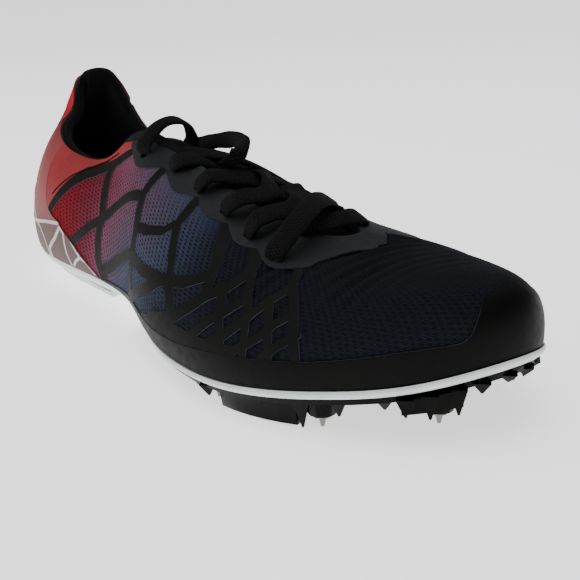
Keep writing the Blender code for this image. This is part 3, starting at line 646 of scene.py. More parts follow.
# %% Crossing laces
EYELETS = ((0.259, 0.83, 0.86), (0.291, 0.87, 0.87), (0.315, 0.86, 0.87),
           (0.339, 0.835, 0.87), (0.360, 0.775, 0.87), (0.381, 0.69, 0.86))
EYELET_RADIUS = 0.0022
LACE_LIFT = 0.0016        # middle of a lace above the mesh
LOWER_LACE = 0.0012       # how much lower the hidden laces run
CROSSING_WIDTH = 0.0078
CROSSING_THICK = 0.0019
ARCH = 0.34               # handles of a crossing, as a share of its span
ARCH_RISE = 0.30


def crossing_path(start, end):
    """Middle line of a lace over the throat: a cubic curve that leaves and meets the upper
    along its surface, a little raised. An end with no share dives under the far edge."""
    (p, t), (far_p, far_t) = start, end
    a, face_a = skin(p, t, LACE_LIFT), normal(p, t)
    far_share = far_t or 0.995
    b, face_b = skin(far_p, far_share, LACE_LIFT if far_t else -0.0012), normal(far_p, far_share)
    ways = []
    for face, chord in ((face_a, b - a), (face_b, a - b)):
        way = chord - face * np.dot(face, chord)
        ways.append(unit(way) + face * ARCH_RISE)
    reach = np.linalg.norm(a - b) * ARCH
    c, d = a + ways[0] * reach, b + ways[1] * reach
    arch = cubic(a, c, d, b, np.linspace(0.0, 1.0, 25)[:, None])
    ends = []
    for q, share, way in ((p, t, ways[0]), (far_p, far_t, ways[1])):
        if share:
            ends.append([skin(q, share, -0.0040), skin(q, share, -0.0004) - unit(way) * 0.0009])
        else:
            ends.append(under_edge(q)[::-1])
    return np.concatenate([ends[0], arch, ends[1][::-1]])


def under_edge(p):
    """Two points below the throat edge, where a lace goes out of sight."""
    return [skin(p, 0.955, -0.0038), skin(p, 0.90, -0.0052)]


def crossing_lace(name, path, wide, holes=(True, False)):
    """Lace along a path, a little uneven, and gathered where it passes an eyelet."""
    even, length = smooth_path(path, 90)
    s = np.linspace(0, 1, len(even))
    pinch = sum(np.clip(1 - run * length / 0.0060, 0, 1) ** 1.5
                for run, hole in zip((s, 1 - s), holes) if hole)
    uneven = 1 + 0.05 * np.sin(s * 13.0 + path[0][0] * 900)
    made = lace(name, even, spread(wide, len(even)), CROSSING_WIDTH * uneven - 0.0016 * pinch,
                CROSSING_THICK + 0.0012 * pinch)
    return made


# Lace from each outer eyelet: its number, station of the far edge, route, directions
TOP_LACES = (
    (1, 0.700, ((0.499, -0.215, 0.888), (0.499, -0.190, 0.900), (0.500, -0.150, 0.893),
                (0.502, -0.100, 0.869), (0.501, -0.045, 0.836), (0.499, 0.020, 0.800),
                (0.491, 0.080, 0.777)),
     ((0.85, -0.3, -0.4), (0.85, -0.3, -0.4), (0.9, 0.2, -0.3))),
    (2, 0.670, ((0.556, -0.215, 0.809), (0.556, -0.190, 0.834), (0.557, -0.145, 0.833),
                (0.562, -0.095, 0.815), (0.568, -0.045, 0.792), (0.568, 0.010, 0.764),
                (0.562, 0.060, 0.742)),
     ((0.85, -0.3, -0.4), (0.85, -0.4, -0.4), (0.9, -0.2, -0.3), (0.9, 0.2, -0.3))),
    (3, 0.706, ((0.622, -0.220, 0.733), (0.622, -0.195, 0.756), (0.623, -0.150, 0.768),
                (0.624, -0.105, 0.758), (0.620, -0.055, 0.761), (0.602, -0.010, 0.780),
                (0.565, 0.035, 0.792), (0.519, 0.075, 0.775), (0.477, 0.110, 0.742)),
     ((0.85, -0.3, -0.4), (0.85, -0.4, -0.4), (0.8, 0.1, -0.4), (0.5, 0.7, 0.2), (0.2, 0.8, 0.4))),
    (4, 0.661, ((0.676, -0.235, 0.645), (0.673, -0.215, 0.687), (0.669, -0.165, 0.707),
                (0.667, -0.105, 0.706), (0.664, -0.045, 0.698), (0.652, 0.010, 0.708),
                (0.625, 0.055, 0.727), (0.586, 0.100, 0.719)),
     ((0.85, -0.3, -0.4), (0.85, -0.4, -0.4), (0.8, 0.0, -0.5), (0.6, 0.6, 0.1), (0.2, 0.8, 0.4))),
    (5, 0.622, ((0.734, -0.245, 0.605), (0.732, -0.215, 0.657), (0.726, -0.160, 0.709),
                (0.715, -0.090, 0.747), (0.701, -0.020, 0.766), (0.684, 0.050, 0.746),
                (0.666, 0.110, 0.695)),
     ((0.9, 0.1, -0.3), (0.9, 0.1, -0.3), (0.95, 0.1, -0.3), (0.95, 0.1, -0.35))),
)
FRONT_BAR = ((0.694, -0.090, 0.640), (0.702, -0.065, 0.650), (0.709, -0.030, 0.656),
             (0.710, 0.030, 0.655), (0.711, 0.090, 0.657), (0.706, 0.140, 0.643))
outer_holes = [(p, a) for p, a, b in EYELETS]
inner_holes = [(1 - p, b) for p, a, b in EYELETS]
for k, far, route, directions in TOP_LACES:
    p, t = outer_holes[k]
    points = routed(route)
    way = unit(points[1] - skin(p, t, 0.0))
    hole = [skin(p, t, -0.0040), skin(p, t, -0.0008) - way * 0.0010, skin(p, t, 0.0014) - way * 0.0013]
    path = np.concatenate([hole, points[1:], under_edge(far)])
    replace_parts(crossing_lace(f"lace_outer_{k}", path, directions), f"lace_crossing_{k}")
for k in range(len(EYELETS) - 2, 1, -1):
    way = (inner_holes[k], (outer_holes[k - 1][0], None))
    path = crossing_path(*way)
    path[:, 2] -= LOWER_LACE * np.sin(np.linspace(0, np.pi, len(path)))
    edges = [profile(q + 0.01, 1.0) - profile(q - 0.01, 1.0) for q in (way[0][0], way[1][0])]
    crossing_lace(f"lace_inner_{k}", path, (unit(edges[0]), -unit(edges[1])))
p, t = inner_holes[-1]
far_hole = [skin(p, t, -0.0004), skin(p, t, -0.0040)]
path = np.concatenate([under_edge(0.392)[::-1], routed(FRONT_BAR), far_hole])
crossing_lace("lace_front_bar", path, ((0.8, -0.3, -0.4), (0.9, 0.0, -0.4), (0.9, 0.2, -0.4)),
              holes=(False, True))
print("crossing laces:", len(TOP_LACES) + len(EYELETS) - 2)

# %% [markdown]
# Mesh cloth of the upper. The real one is a printed sandwich mesh: the print fades from red
# at the heel to navy at the ball, and small slots show dark through it. The fade is a
# number kept at each point, and its colours were set with those of the photo and of a
# render measured side by side. Lower down the fade runs further on, darker and bluer, which
# is partly the print and partly painted shade. The slots are where the product of two
# waves is low, which staggers them as a knitting machine does.

# %% Mesh cloth
SLOT_RUN = 0.0024         # from one slot to the next along a row
SLOT_RISE = 0.0030        # two rows of slots
SLOT_LEAN = 0.45          # how far a slot leans for its height
WEAVE_TURN = -24.0        # degrees
THREAD = 0.0016           # from one thread to the next, and from one slanting strand
STRAND = 0.0009
FADE = ((0.00, screen(156, 8, 20)), (0.25, screen(144, 12, 28)), (0.36, screen(128, 20, 36)),
        (0.45, screen(118, 36, 54)), (0.50, screen(130, 56, 78)), (0.55, screen(132, 70, 94)),
        (0.60, screen(112, 74, 94)), (0.67, screen(90, 76, 98)), (0.75, screen(70, 72, 94)),
        (0.82, screen(52, 60, 82)), (0.88, screen(28, 32, 48)), (0.94, screen(14, 17, 26)),
        (1.00, screen(2, 3, 5)))


def mesh_cloth():
    """Printed mesh: fade by the stored shade, dark slots, and fine threads over all."""
    made, tree, shader = finish("upper_mesh", screen(60, 40, 60), 0.80, Specular_IOR_Level=0.08)
    shade = node(tree, "Attribute", attribute_name="shade").outputs["Fac"]
    printed = ramp(tree, shade, FADE)
    u, v = weave_uv(tree, WEAVE_TURN)
    u = maths(tree, "ADD", u, maths(tree, "MULTIPLY", v, SLOT_LEAN))
    product = maths(tree, "MULTIPLY", wave(tree, u, SLOT_RUN), wave(tree, v, SLOT_RISE))
    slots = between(tree, product, -0.62, -0.28, 1.0, 0.0)
    low_zone = between(tree, weave_uv(tree)[1], 0.046, 0.058, 1.0, 0.25)
    ahead = between(tree, shade, 0.95, 1.12, 1.0, 0.65)
    depth = maths(tree, "MULTIPLY", maths(tree, "MULTIPLY", slots, low_zone), ahead)
    threads, strands = wave(tree, v, THREAD), wave(tree, maths(tree, "ADD", u, v), STRAND)
    fine = between(tree, maths(tree, "MULTIPLY", threads, strands), -1.0, 1.0)
    speckle = between(tree, grain(tree, 900.0, 2.0), 0.35, 0.7)
    paleness = between(tree, shade, 0.35, 0.60, 0.012, 0.055)
    lit = mix(tree, fine, printed, mix(tree, paleness, printed, screen(150, 160, 195)))
    lit = mix(tree, maths(tree, "MULTIPLY", speckle, 0.30), lit, screen(8, 8, 11))
    paint(tree, shader, mix(tree, maths(tree, "MULTIPLY", depth, 0.85), lit, screen(14, 9, 18)))
    height = maths(tree, "SUBTRACT", maths(tree, "MULTIPLY", fine, 0.40), depth)
    bump(tree, shader, between(tree, height, -1.0, 0.3), 0.0006)
    return made


MESH_CLOTH = mesh_cloth()
CUT_CLOTH = finish("cut_cloth", screen(22, 20, 24), 0.9)[0]


def eyelet_field(p, t):
    """Distance out of the nearest eyelet, on both sides of the throat."""
    spots = np.array([skin(q, s, 0.0) for q, a, b in EYELETS for q, s in ((q, a), (1 - q, b))])
    points = skin(p, t, 0.0)
    gaps = np.full(len(points), 1.0)
    for spot in spots:
        gaps = np.minimum(gaps, np.linalg.norm(points - spot, axis=1))
    return gaps - EYELET_RADIUS


CREASE_DEPTH = 0.0011
CREASE_PITCH = 0.0058
CREASE_MIDDLE = (0.190, -0.010)
CREASE_REACH = (0.026, 0.034)


def creases(p, t):
    """Shallow flex ripples across the toe box: a wave along the shoe, bent and broken by
    slower waves, fading out round its middle. Only ever inwards, so film stays on top."""
    x, y = profile(p, t)[..., :2].T
    ripple = x / CREASE_PITCH + 0.35 * np.sin(y / 0.011 + 1.0) + 0.30 * np.sin(x / 0.017 + y / 0.023)
    broken = 0.65 + 0.35 * np.sin(y / 0.0075 + x / 0.006)
    fade = np.exp(-((x - CREASE_MIDDLE[0]) / CREASE_REACH[0]) ** 4
                  - ((y - CREASE_MIDDLE[1]) / CREASE_REACH[1]) ** 4)
    return -CREASE_DEPTH * fade * broken * (0.5 + 0.5 * np.sin(math.tau * ripple)) ** 1.5


upper = layer("upper_shell", np.arange(440) / 440, np.linspace(0, 1, 104), eyelet_field,
              -UPPER_WALL, creases, [MESH_CLOTH, CUT_CLOTH], round_=True)
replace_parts(upper, "upper")
print("upper shell:", len(upper.data.polygons), "faces")

# %% [markdown]
# Film overlays. The real pieces are thin plastic films, cut from a sheet and bonded on, so
# each has a true thickness, a plain face and a cut edge. The cut edges of the web and the
# rand are coloured a light grey, a painted highlight for the light that they catch. A strip
# of the web is a line on the upper with a width: the field is that half width less the
# distance to the line, and the union of strips is the highest of their fields. Where a
# strip turns was read off the photo by eye, and carried onto the form beside this script.

# %% Film finishes
def film_finish(name, colour, roughness, grit=0.3, depth=0.00005, **sockets):
    """Smooth film with a faint orange peel, a little uneven in colour."""
    made, tree, shader = finish(name, colour, roughness, **sockets)
    fleck = grain(tree, 420.0, 4.0)
    paint(tree, shader, mix(tree, between(tree, grain(tree, 60.0), 0.3, 0.7), dimmed(colour, 0.72), colour))
    paint(tree, shader, between(tree, fleck, 0.2, 0.8, roughness - 0.08, roughness + 0.10), "Roughness")
    bump(tree, shader, fleck, depth, grit)
    return made


WEB_FILM = film_finish("web_film", screen(25, 25, 24), 0.62, Specular_IOR_Level=0.06)
RAND_FILM = film_finish("rand_film", screen(11, 11, 10), 0.50, 0.5, 0.00010, Specular_IOR_Level=0.07)
STAY_FILM = film_finish("eyestay_film", screen(31, 33, 36), 0.55, Specular_IOR_Level=0.16)
# Painted highlight: the web's cut edges are a light grey, far lighter than the film, for the light they
# catch.
WEB_EDGE_HIGHLIGHT = finish("cut_film_edge_highlight", screen(72, 77, 86), 0.5, Specular_IOR_Level=0.3)[0]
DARK_EDGE = finish("dark_film_edge", screen(40, 40, 42), 0.6)[0]

# %% Web of strips
# Strips: width in mm, then the stations and shares that its middle line passes
WEB = (
    (4.8, ((0.124, 0.30), (0.135, 0.44), (0.148, 0.61), (0.158, 0.73), (0.171, 0.84), (0.187, 0.89),
           (0.203, 0.90), (0.221, 0.87), (0.238, 0.86))),
    (5.4, ((0.212, 0.90), (0.205, 0.86), (0.200, 0.80), (0.199, 0.67), (0.199, 0.57), (0.199, 0.48))),
    (3.6, ((0.199, 0.48), (0.182, 0.40), (0.167, 0.28), (0.160, 0.22))),
    (5.2, ((0.199, 0.48), (0.194, 0.36), (0.192, 0.25), (0.189, 0.12), (0.190, 0.02))),
    (4.2, ((0.199, 0.48), (0.218, 0.53), (0.242, 0.565), (0.268, 0.60))),
    (4.2, ((0.289, 0.86), (0.283, 0.80), (0.276, 0.70), (0.270, 0.61), (0.269, 0.53), (0.270, 0.45))),
    (3.6, ((0.319, 0.84), (0.315, 0.72), (0.312, 0.62), (0.302, 0.53), (0.287, 0.48), (0.270, 0.45))),
    (3.6, ((0.342, 0.80), (0.344, 0.68), (0.346, 0.55), (0.346, 0.42), (0.343, 0.34))),
    (4.4, ((0.190, 0.03), (0.197, 0.12), (0.223, 0.22), (0.263, 0.31))),
    (4.6, ((0.270, 0.45), (0.267, 0.31), (0.262, 0.20), (0.252, 0.09), (0.247, 0.02))),
    (4.2, ((0.263, 0.31), (0.288, 0.30), (0.312, 0.33), (0.330, 0.38), (0.346, 0.47))),
    (4.0, ((0.234, 0.02), (0.262, 0.11), (0.301, 0.26), (0.312, 0.33))),
    (4.0, ((0.317, 0.34), (0.322, 0.27), (0.322, 0.12))),
    (3.2, ((0.312, 0.58), (0.315, 0.48), (0.317, 0.43), (0.318, 0.34))),
    (4.2, ((0.300, 0.12), (0.324, 0.20), (0.338, 0.30), (0.346, 0.37), (0.356, 0.43), (0.362, 0.49),
           (0.367, 0.54), (0.369, 0.62), (0.367, 0.72))),
    (3.0, ((0.352, 0.44), (0.356, 0.36), (0.355, 0.27), (0.356, 0.20), (0.356, 0.10))),
    (2.7, ((0.369, 0.56), (0.369, 0.44), (0.370, 0.34), (0.369, 0.23), (0.367, 0.10))),
    (2.8, ((0.381, 0.42), (0.381, 0.37), (0.381, 0.27), (0.380, 0.10))),
    (3.0, ((0.398, 0.73), (0.396, 0.62), (0.393, 0.52), (0.394, 0.44), (0.3935, 0.26), (0.393, 0.09))),
    (3.2, ((0.334, 0.13), (0.339, 0.17), (0.348, 0.25), (0.358, 0.32), (0.367, 0.39))),
    (3.2, ((0.344, 0.12), (0.348, 0.15), (0.358, 0.21), (0.367, 0.28), (0.372, 0.33), (0.388, 0.47),
           (0.394, 0.54))),
    (2.7, ((0.362, 0.14), (0.367, 0.17), (0.371, 0.19), (0.379, 0.24), (0.384, 0.29), (0.394, 0.35))),
    (2.6, ((0.376, 0.12), (0.383, 0.17), (0.390, 0.21), (0.395, 0.24))),
    (6.0, ((0.285, 0.05), (0.305, 0.11), (0.325, 0.13), (0.345, 0.12), (0.360, 0.12))),
)


def strip_field(strips, p, t):
    """Highest of half width less distance, over all strips: each is a close row of points
    on the upper, and only grid points near it are measured."""
    points = skin(p, t, 0.0)
    value = np.full(len(points), -0.02)
    for width, route in strips:
        line = skin(*spread(route, 40 * (len(route) - 1) + 1).T, 0.0)
        reach = width * MM
        close = (points > line.min(0) - reach) & (points < line.max(0) + reach)
        near = np.flatnonzero(close.all(1))
        for part in np.array_split(near, max(1, len(near) // 4000)):
            if len(part):
                gap = np.linalg.norm(points[part][:, None] - line[None], axis=2).min(1)
                value[part] = np.maximum(value[part], width * MM / 2 - gap)
    return value


def other_side(strips):
    """The same strips on the inner side of the shoe."""
    return [(width, [(1 - p, t) for p, t in route]) for width, route in strips]


FILM_LOW = -0.0001        # a film's back lies just inside the cloth's face
WEB_HIGH = 0.00032
for name, run, strips in (("web_film_outer", (0.118, 0.402), WEB),
                          ("web_film_inner", (0.598, 0.882), other_side(WEB))):
    sheet = layer(name, np.linspace(*run, 350), np.linspace(0.01, 0.93, 170),
                  lambda p, t, strips=strips: strip_field(strips, p, t),
                  FILM_LOW, WEB_HIGH, [WEB_FILM, WEB_EDGE_HIGHLIGHT])
    print(name, len(sheet.data.polygons), "faces")

# %% [markdown]
# Rand, eyestay, counter and collar panels. These cover the cloth from one outline up or
# down, so their field is simply how far t lies past the outline at each station. The
# outlines are short tables with straight runs between, each row read off the photo and
# carried onto the form as the web was. The eyestay has one lobe to an eyelet, steep
# behind and flat in front.

# %% Edges of the overlays
RAND_EDGE = ((0.185, 0.020), (0.21, 0.035), (0.24, 0.055), (0.30, 0.075), (0.322, 0.09), (0.344, 0.113),
             (0.362, 0.122), (0.40, 0.114), (0.422, 0.121), (0.440, 0.126), (0.455, 0.120),
             (0.4625, 0.112), (0.4675, 0.109), (0.4710, 0.112), (0.475, 0.136), (0.478, 0.180),
             (0.4806, 0.222), (0.4833, 0.256), (0.487, 0.290), (0.492, 0.319), (0.499, 0.338),
             (0.510, 0.350), (0.522, 0.342), (0.532, 0.300), (0.540, 0.240), (0.548, 0.170),
             (0.556, 0.125), (0.566, 0.112), (0.60, 0.12), (0.66, 0.12), (0.70, 0.08),
             (0.76, 0.055), (0.815, 0.02))
EYESTAY_LOBES = (
    (0.236, 0.900), (0.2396, 0.854), (0.2444, 0.790), (0.2493, 0.750), (0.257, 0.738),
    (0.266, 0.750), (0.2736, 0.774), (0.2826, 0.812), (0.2875, 0.790), (0.2917, 0.762),
    (0.2958, 0.741), (0.3014, 0.744), (0.3069, 0.768), (0.3174, 0.801), (0.3194, 0.774),
    (0.3236, 0.748), (0.3271, 0.736), (0.3319, 0.745), (0.3375, 0.754), (0.3438, 0.769),
    (0.3479, 0.720), (0.3514, 0.692), (0.3569, 0.686), (0.3618, 0.693), (0.3681, 0.706),
    (0.3729, 0.645), (0.3771, 0.620), (0.3826, 0.618), (0.3882, 0.635), (0.400, 0.664))
EYESTAY_FRONT = (
    (0.400, 0.664), (0.4056, 0.694), (0.412, 0.745), (0.4236, 0.804), (0.438, 0.856),
    (0.452, 0.884), (0.466, 0.898), (0.482, 0.896), (0.494, 0.902), (0.508, 0.915),
    (0.526, 0.908), (0.545, 0.911), (0.558, 0.905), (0.572, 0.885),
    (0.585, 0.866), (0.592, 0.810), (0.600, 0.664))
COUNTER_EDGE = ((0.000, 0.880), (0.040, 0.875), (0.066, 0.90), (0.085, 0.975), (0.092, 1.05),
                (0.118, 1.05), (0.121, 0.75), (0.125, 0.62), (0.130, 0.50), (0.1347, 0.430),
                (0.141, 0.392), (0.1486, 0.365), (0.1525, 0.320), (0.157, 0.285), (0.162, 0.240),
                (0.167, 0.185), (0.172, 0.125), (0.178, 0.070), (0.184, 0.020))
PANEL_LOW = ((0.118, 0.36), (0.130, 0.38), (0.136, 0.485), (0.146, 0.630), (0.154, 0.745),
             (0.162, 0.840), (0.170, 0.905), (0.182, 0.955), (0.197, 0.948), (0.210, 0.920),
             (0.222, 0.900), (0.238, 0.880))
BINDING_EDGE = ((0.225, 0.985), (0.236, 0.945), (0.250, 0.925), (0.270, 0.925), (0.290, 0.955),
                (0.305, 1.01))
FILM_HIGH = 0.0005


def rand_field(p, t):
    """How far below the rand's upper edge."""
    return (along(RAND_EDGE, p) - t) * 0.1


def eyestay_field(p, t):
    """How far above the scalloped edge, with the eyelets punched out."""
    near = np.minimum(p, 1 - p)
    edge = np.where(near < 0.4, along(EYESTAY_LOBES, near), along(EYESTAY_FRONT, p))
    bound = (along(BINDING_EDGE, near) - t) * 0.09
    return np.minimum(np.minimum((t - edge) * 0.09, bound), eyelet_field(p, t))


def binding_field(p, t):
    """Above the line where the edge binding meets the eyestay."""
    return (t - along(BINDING_EDGE, np.minimum(p % 1.0, 1 - p % 1.0)) - 0.002) * 0.09


def counter_field(p, t):
    """How far below the counter's edge, on both sides of the heel."""
    return (along(COUNTER_EDGE, np.abs(p)) - t) * 0.1


def panel_field(p, t):
    """How far above the collar panel's lower edge."""
    return (t - along(PANEL_LOW, p)) * 0.09


def side_panel_field(p, t):
    """The same panel on the inner side."""
    return panel_field(-p, t)


def tab_field(p, t):
    """Above the tab's lower edge, which dips in the middle of the heel."""
    return (t - (0.885 + 2.2 * p * p)) * 0.09


# %% [markdown]
# Finishes of the heel. The real counter is a glossy film, half clear over the red print,
# grey brown near the sole, with a net of white lines. A clear film over a print costs many
# light paths for little, so here it is opaque, and its colour is a fade up the section,
# which the UV map's second number measures.

# %% Heel finishes
COUNTER_HEIGHT = 0.088    # along the section, where the fade ends


def counter_finish():
    """Film: brown grey at the sole, rose above, dark red towards the collar."""
    made, tree, shader = finish("counter_film", screen(170, 80, 76), 0.48, Specular_IOR_Level=0.08)
    stops = ((0.00, screen(96, 78, 76)), (0.16, screen(104, 78, 76)), (0.27, screen(150, 80, 78)),
             (0.40, screen(152, 80, 78)), (0.58, screen(144, 70, 70)), (0.70, screen(118, 46, 48)),
             (0.84, screen(76, 20, 24)))
    paint(tree, shader, ramp(tree, between(tree, weave_uv(tree)[1], 0.0, COUNTER_HEIGHT), stops))
    bump(tree, shader, grain(tree, 160.0, 3.0), 0.00006, 0.4)
    return made


COUNTER_FILM = counter_finish()
PANEL_FILM = film_finish("collar_film", screen(156, 46, 48), 0.50, Specular_IOR_Level=0.2)
TAB_FILM = film_finish("tab_film", screen(190, 12, 36), 0.42, Specular_IOR_Level=0.2)
WHITE_PRINT = film_finish("white_print", screen(205, 203, 200), 0.45)
RED_EDGE = finish("red_film_edge", screen(96, 20, 24), 0.6)[0]
# Painted highlight: the rand's cut edge is a light grey, far lighter than its film, for the light it
# catches.
RAND_EDGE_HIGHLIGHT = finish("rand_edge_highlight", screen(66, 69, 75), 0.45, Specular_IOR_Level=0.3)[0]

# %% Overlays
OVERLAYS = (
    # name, stations, shares, field, height, finishes, node, slot
    ("toe_rand_film", (0.186, 0.814, 620), (0.004, 0.38, 90), rand_field, 0.00050,
     [RAND_FILM, RAND_EDGE_HIGHLIGHT], "toe_rand", "rand_film"),
    ("eyestay_shell", (0.2362, 0.7638, 600), (0.60, 1.0, 110), eyestay_field, 0.00044,
     [STAY_FILM, DARK_EDGE], "eyestay", "eyestay_film"),
    ("heel_counter_film", (-0.184, 0.184, 260), (0.004, 1.0, 120), counter_field, FILM_HIGH,
     [COUNTER_FILM, RED_EDGE], "heel_counter", "counter_film"),
    ("collar_panel_film_outer", (0.1185, 0.2375, 150), (0.34, 1.0, 110), panel_field, 0.00042,
     [PANEL_FILM, RED_EDGE], "collar_panel_outer", "collar_film"),
    ("collar_panel_film_inner", (-0.2375, -0.1185, 150), (0.34, 1.0, 110), side_panel_field, 0.00042,
     [PANEL_FILM, RED_EDGE], "collar_panel_inner", "collar_film"),
    ("heel_tab_film", (-0.08, 0.08, 90), (0.86, 1.0, 40), tab_field, 0.00085,
     [TAB_FILM, RED_EDGE], "heel_tab", "tab_film"),
)
for name, run, shares, field, high, finishes, cad_node, slot in OVERLAYS:
    sheet = layer(name, np.linspace(*run), np.linspace(*shares), field, FILM_LOW, high, finishes)
    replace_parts(sheet, cad_node)
    print(name, len(sheet.data.polygons), "faces")

# %% [markdown]
# Stitches along the collar panel's lower edge. A needle thread lies as short dashes, so
# each is a strip of its own, short and as wide as the thread.

# %% Stitches
STITCH_LINE = ((0.1345, 0.520), (0.1444, 0.650), (0.1548, 0.775), (0.1689, 0.893),
               (0.1862, 0.948), (0.2030, 0.958), (0.2140, 0.942))
STITCHES = 30
STITCH_WIDTH = 0.55       # mm
STITCH_LOW, STITCH_HIGH = 0.0002, 0.0007


def stitch_strips(side):
    """Short strips, evenly spread along the line; side is 1 or -1."""
    dense_p, dense_t = spread(STITCH_LINE, 400).T
    run = distance(skin(dense_p, dense_t, 0.0))
    ends = np.linspace(0, run[-1], 2 * STITCHES)
    p, t = np.interp(ends, run, dense_p) * side, np.interp(ends, run, dense_t)
    return [(STITCH_WIDTH, ((p[k], t[k]), (p[k + 1], t[k + 1]))) for k in range(0, 2 * STITCHES, 2)]


STITCH_THREAD = finish("stitch_thread", screen(40, 10, 14), 0.8, Specular_IOR_Level=0.1)[0]
for name, side, run in (("stitches_outer", 1, (0.138, 0.214)), ("stitches_inner", -1, (-0.214, -0.138))):
    strips = stitch_strips(side)
    row = layer(name, np.linspace(*run, 230), np.linspace(0.50, 0.995, 170),
                lambda p, t, strips=strips: strip_field(strips, p, t),
                STITCH_LOW, STITCH_HIGH, [STITCH_THREAD, STITCH_THREAD])

# %% [markdown]
# Knit cloth, for the lining, the tongue and the insole.

# %% Knit
KNIT_RIB = 0.0008
KNIT_ROW = 0.0006


def knit_finish(name, colour):
    """Black knit: small ribs one way, finer ones across, fuzzy at grazing angles, with painted shade: half
    as bright where the knit is low.
    """
    made, tree, shader = finish(name, colour, 0.92, Sheen_Weight=0.04, Sheen_Roughness=0.5,
                                Specular_IOR_Level=0.1)
    u, v = weave_uv(tree)
    ribs, rows = wave(tree, u, KNIT_RIB), wave(tree, v, KNIT_ROW)
    height = between(tree, maths(tree, "MULTIPLY", ribs, rows), -1.0, 1.0)
    # Painted shade: the low parts between the ribs are half as bright.
    paint(tree, shader, mix(tree, height, dimmed(colour, 0.5), colour))
    bump(tree, shader, height, 0.00015)
    return made


# %% [markdown]
# Where the collar meets the eyestay, the black knit of the lining is folded over the edge
# and sewn down outside, so a narrow dark band runs along the top of the throat.

# %% Edge binding
BINDING_HIGH = 0.0009
LINING_KNIT = knit_finish("lining_knit", screen(8, 9, 9))
for name, run in (("edge_binding_outer", (0.226, 0.304, 90)), ("edge_binding_inner", (0.696, 0.774, 90))):
    sheet = layer(name, np.linspace(*run), np.linspace(0.90, 1.0, 24), binding_field,
                  FILM_LOW, BINDING_HIGH, [LINING_KNIT, LINING_KNIT])

# %% [markdown]
# White lines of the counter. They are thin raised print, laid as strips like the web, with
# points found in the same way.

# %% Counter lines
COUNTER_LINES = (
    (1.1, ((0.035, 0.34), (0.066, 0.45), (0.098, 0.43), (0.1104, 0.281), (0.119, 0.250),
           (0.1236, 0.186), (0.125, 0.101), (0.126, 0.02))),
    (1.5, ((0.070, 0.25), (0.092, 0.262), (0.1104, 0.281), (0.1326, 0.332), (0.1486, 0.357))),
    (1.6, ((0.1280, 0.02), (0.1292, 0.101), (0.1424, 0.221), (0.1507, 0.332))),
    (1.2, ((0.1507, 0.332), (0.1543, 0.290), (0.1542, 0.211), (0.1542, 0.126), (0.1556, 0.03))),
    (1.1, ((0.1611, 0.261), (0.1646, 0.201), (0.1674, 0.151), (0.1688, 0.131))),
    (1.3, ((0.1585, 0.03), (0.1630, 0.085), (0.1688, 0.131), (0.1743, 0.110), (0.1812, 0.040))),
    (1.0, ((0.1688, 0.131), (0.1680, 0.190))),
    (1.0, ((0.030, 0.02), (0.045, 0.14), (0.070, 0.25), (0.082, 0.16), (0.092, 0.02))),
    (1.0, ((-0.070, 0.25), (-0.035, 0.34), (0.000, 0.28), (0.035, 0.34), (0.070, 0.25))),
    (1.0, ((0.000, 0.28), (0.015, 0.16), (0.030, 0.02))),
)
both_sides = [(width, [(p * side, t) for p, t in route]) for side in (1, -1)
              for width, route in COUNTER_LINES]
lines = layer("counter_lines", np.linspace(-0.184, 0.184, 620), np.linspace(0.004, 0.62, 170),
              lambda p, t: np.minimum(strip_field(both_sides, p, t), counter_field(p, t)),
              FILM_HIGH - 0.0001, FILM_HIGH + 0.0002, [WHITE_PRINT, WHITE_PRINT])

# %% [markdown]
# Collar lining and tongue. The collar is foam under knit cloth: it swells inwards, and its
# round edge stands a little over the upper. A closed section carried round the collar,
# with a subdivision surface over it, gives the soft roll.

# %% Tongue cloth
TONGUE_KNIT = knit_finish("tongue_knit", screen(14, 14, 15))

# %% Collar lining
LINING = 0.0034           # foam at its full thickness
RIM = 0.0030              # how far its round edge stands over the upper


def sheet_uv(lengthwise, size, across):
    """UV of rings: their places along the sheet, and even steps over its width."""
    steps = np.linspace(0, across, size)
    return np.stack(np.broadcast_arrays(lengthwise[:, None], steps[None]), -1).reshape(-1, 2)


def pad(p):
    """Thickness of the padding: full round the collar, thin along the throat."""
    away = np.minimum(p % 1.0, 1 - p % 1.0)
    return LINING * along(((0.0, 1.0), (0.20, 1.0), (0.25, 0.45), (0.30, 0.30), (0.5, 0.0)), away)


def collar_lining():
    """Rings: up the outside under the upper, over the rolled edge, down the inside."""
    p = np.linspace(-0.30, 0.30, 150)
    away = np.abs(p)
    low = along(((0.0, 0.30), (0.14, 0.30), (0.20, 0.40), (0.24, 0.70), (0.30, 0.85)), away)
    rise = RIM * along(((0.0, 1.0), (0.23, 1.0), (0.27, 0.75), (0.30, 0.45)), away)
    thick, back_ = pad(p), UPPER_WALL + 0.0002
    edge, face = skin(p, 1.0, 0.0), normal(p, 1.0)
    climb = unit(edge - skin(p, 0.98, 0.0))
    t = low[:, None] + (1 - low[:, None]) * np.linspace(0, 1, 12)
    outside = skin(p[:, None], t, -back_)
    swell = thick[:, None] * np.interp(t, (0.3, 0.72, 1.0), (0.3, 1.0, 1.1))
    inside = skin(p[:, None], t, -back_ - swell)[:, ::-1]
    crown = []
    for lift, inset in ((0.45, -0.35), (0.80, -0.20), (1.0, 0.25), (0.95, 0.65), (0.6, 0.98)):
        crown.append(edge + climb * (rise * lift)[:, None] - face * (back_ + inset * thick)[:, None])
    rings = np.concatenate([outside, np.stack(crown, 1), inside], 1)
    made = loft("collar_lining_roll", rings, LINING_KNIT, sheet_uv(p * GIRTH, rings.shape[1], 0.09))
    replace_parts(made, "collar_lining")
    smooth = made.modifiers.new("soft", "SUBSURF")
    smooth.levels = smooth.render_levels = 1


collar_lining()

# %% Tongue
TONGUE = 0.0022           # its thickness


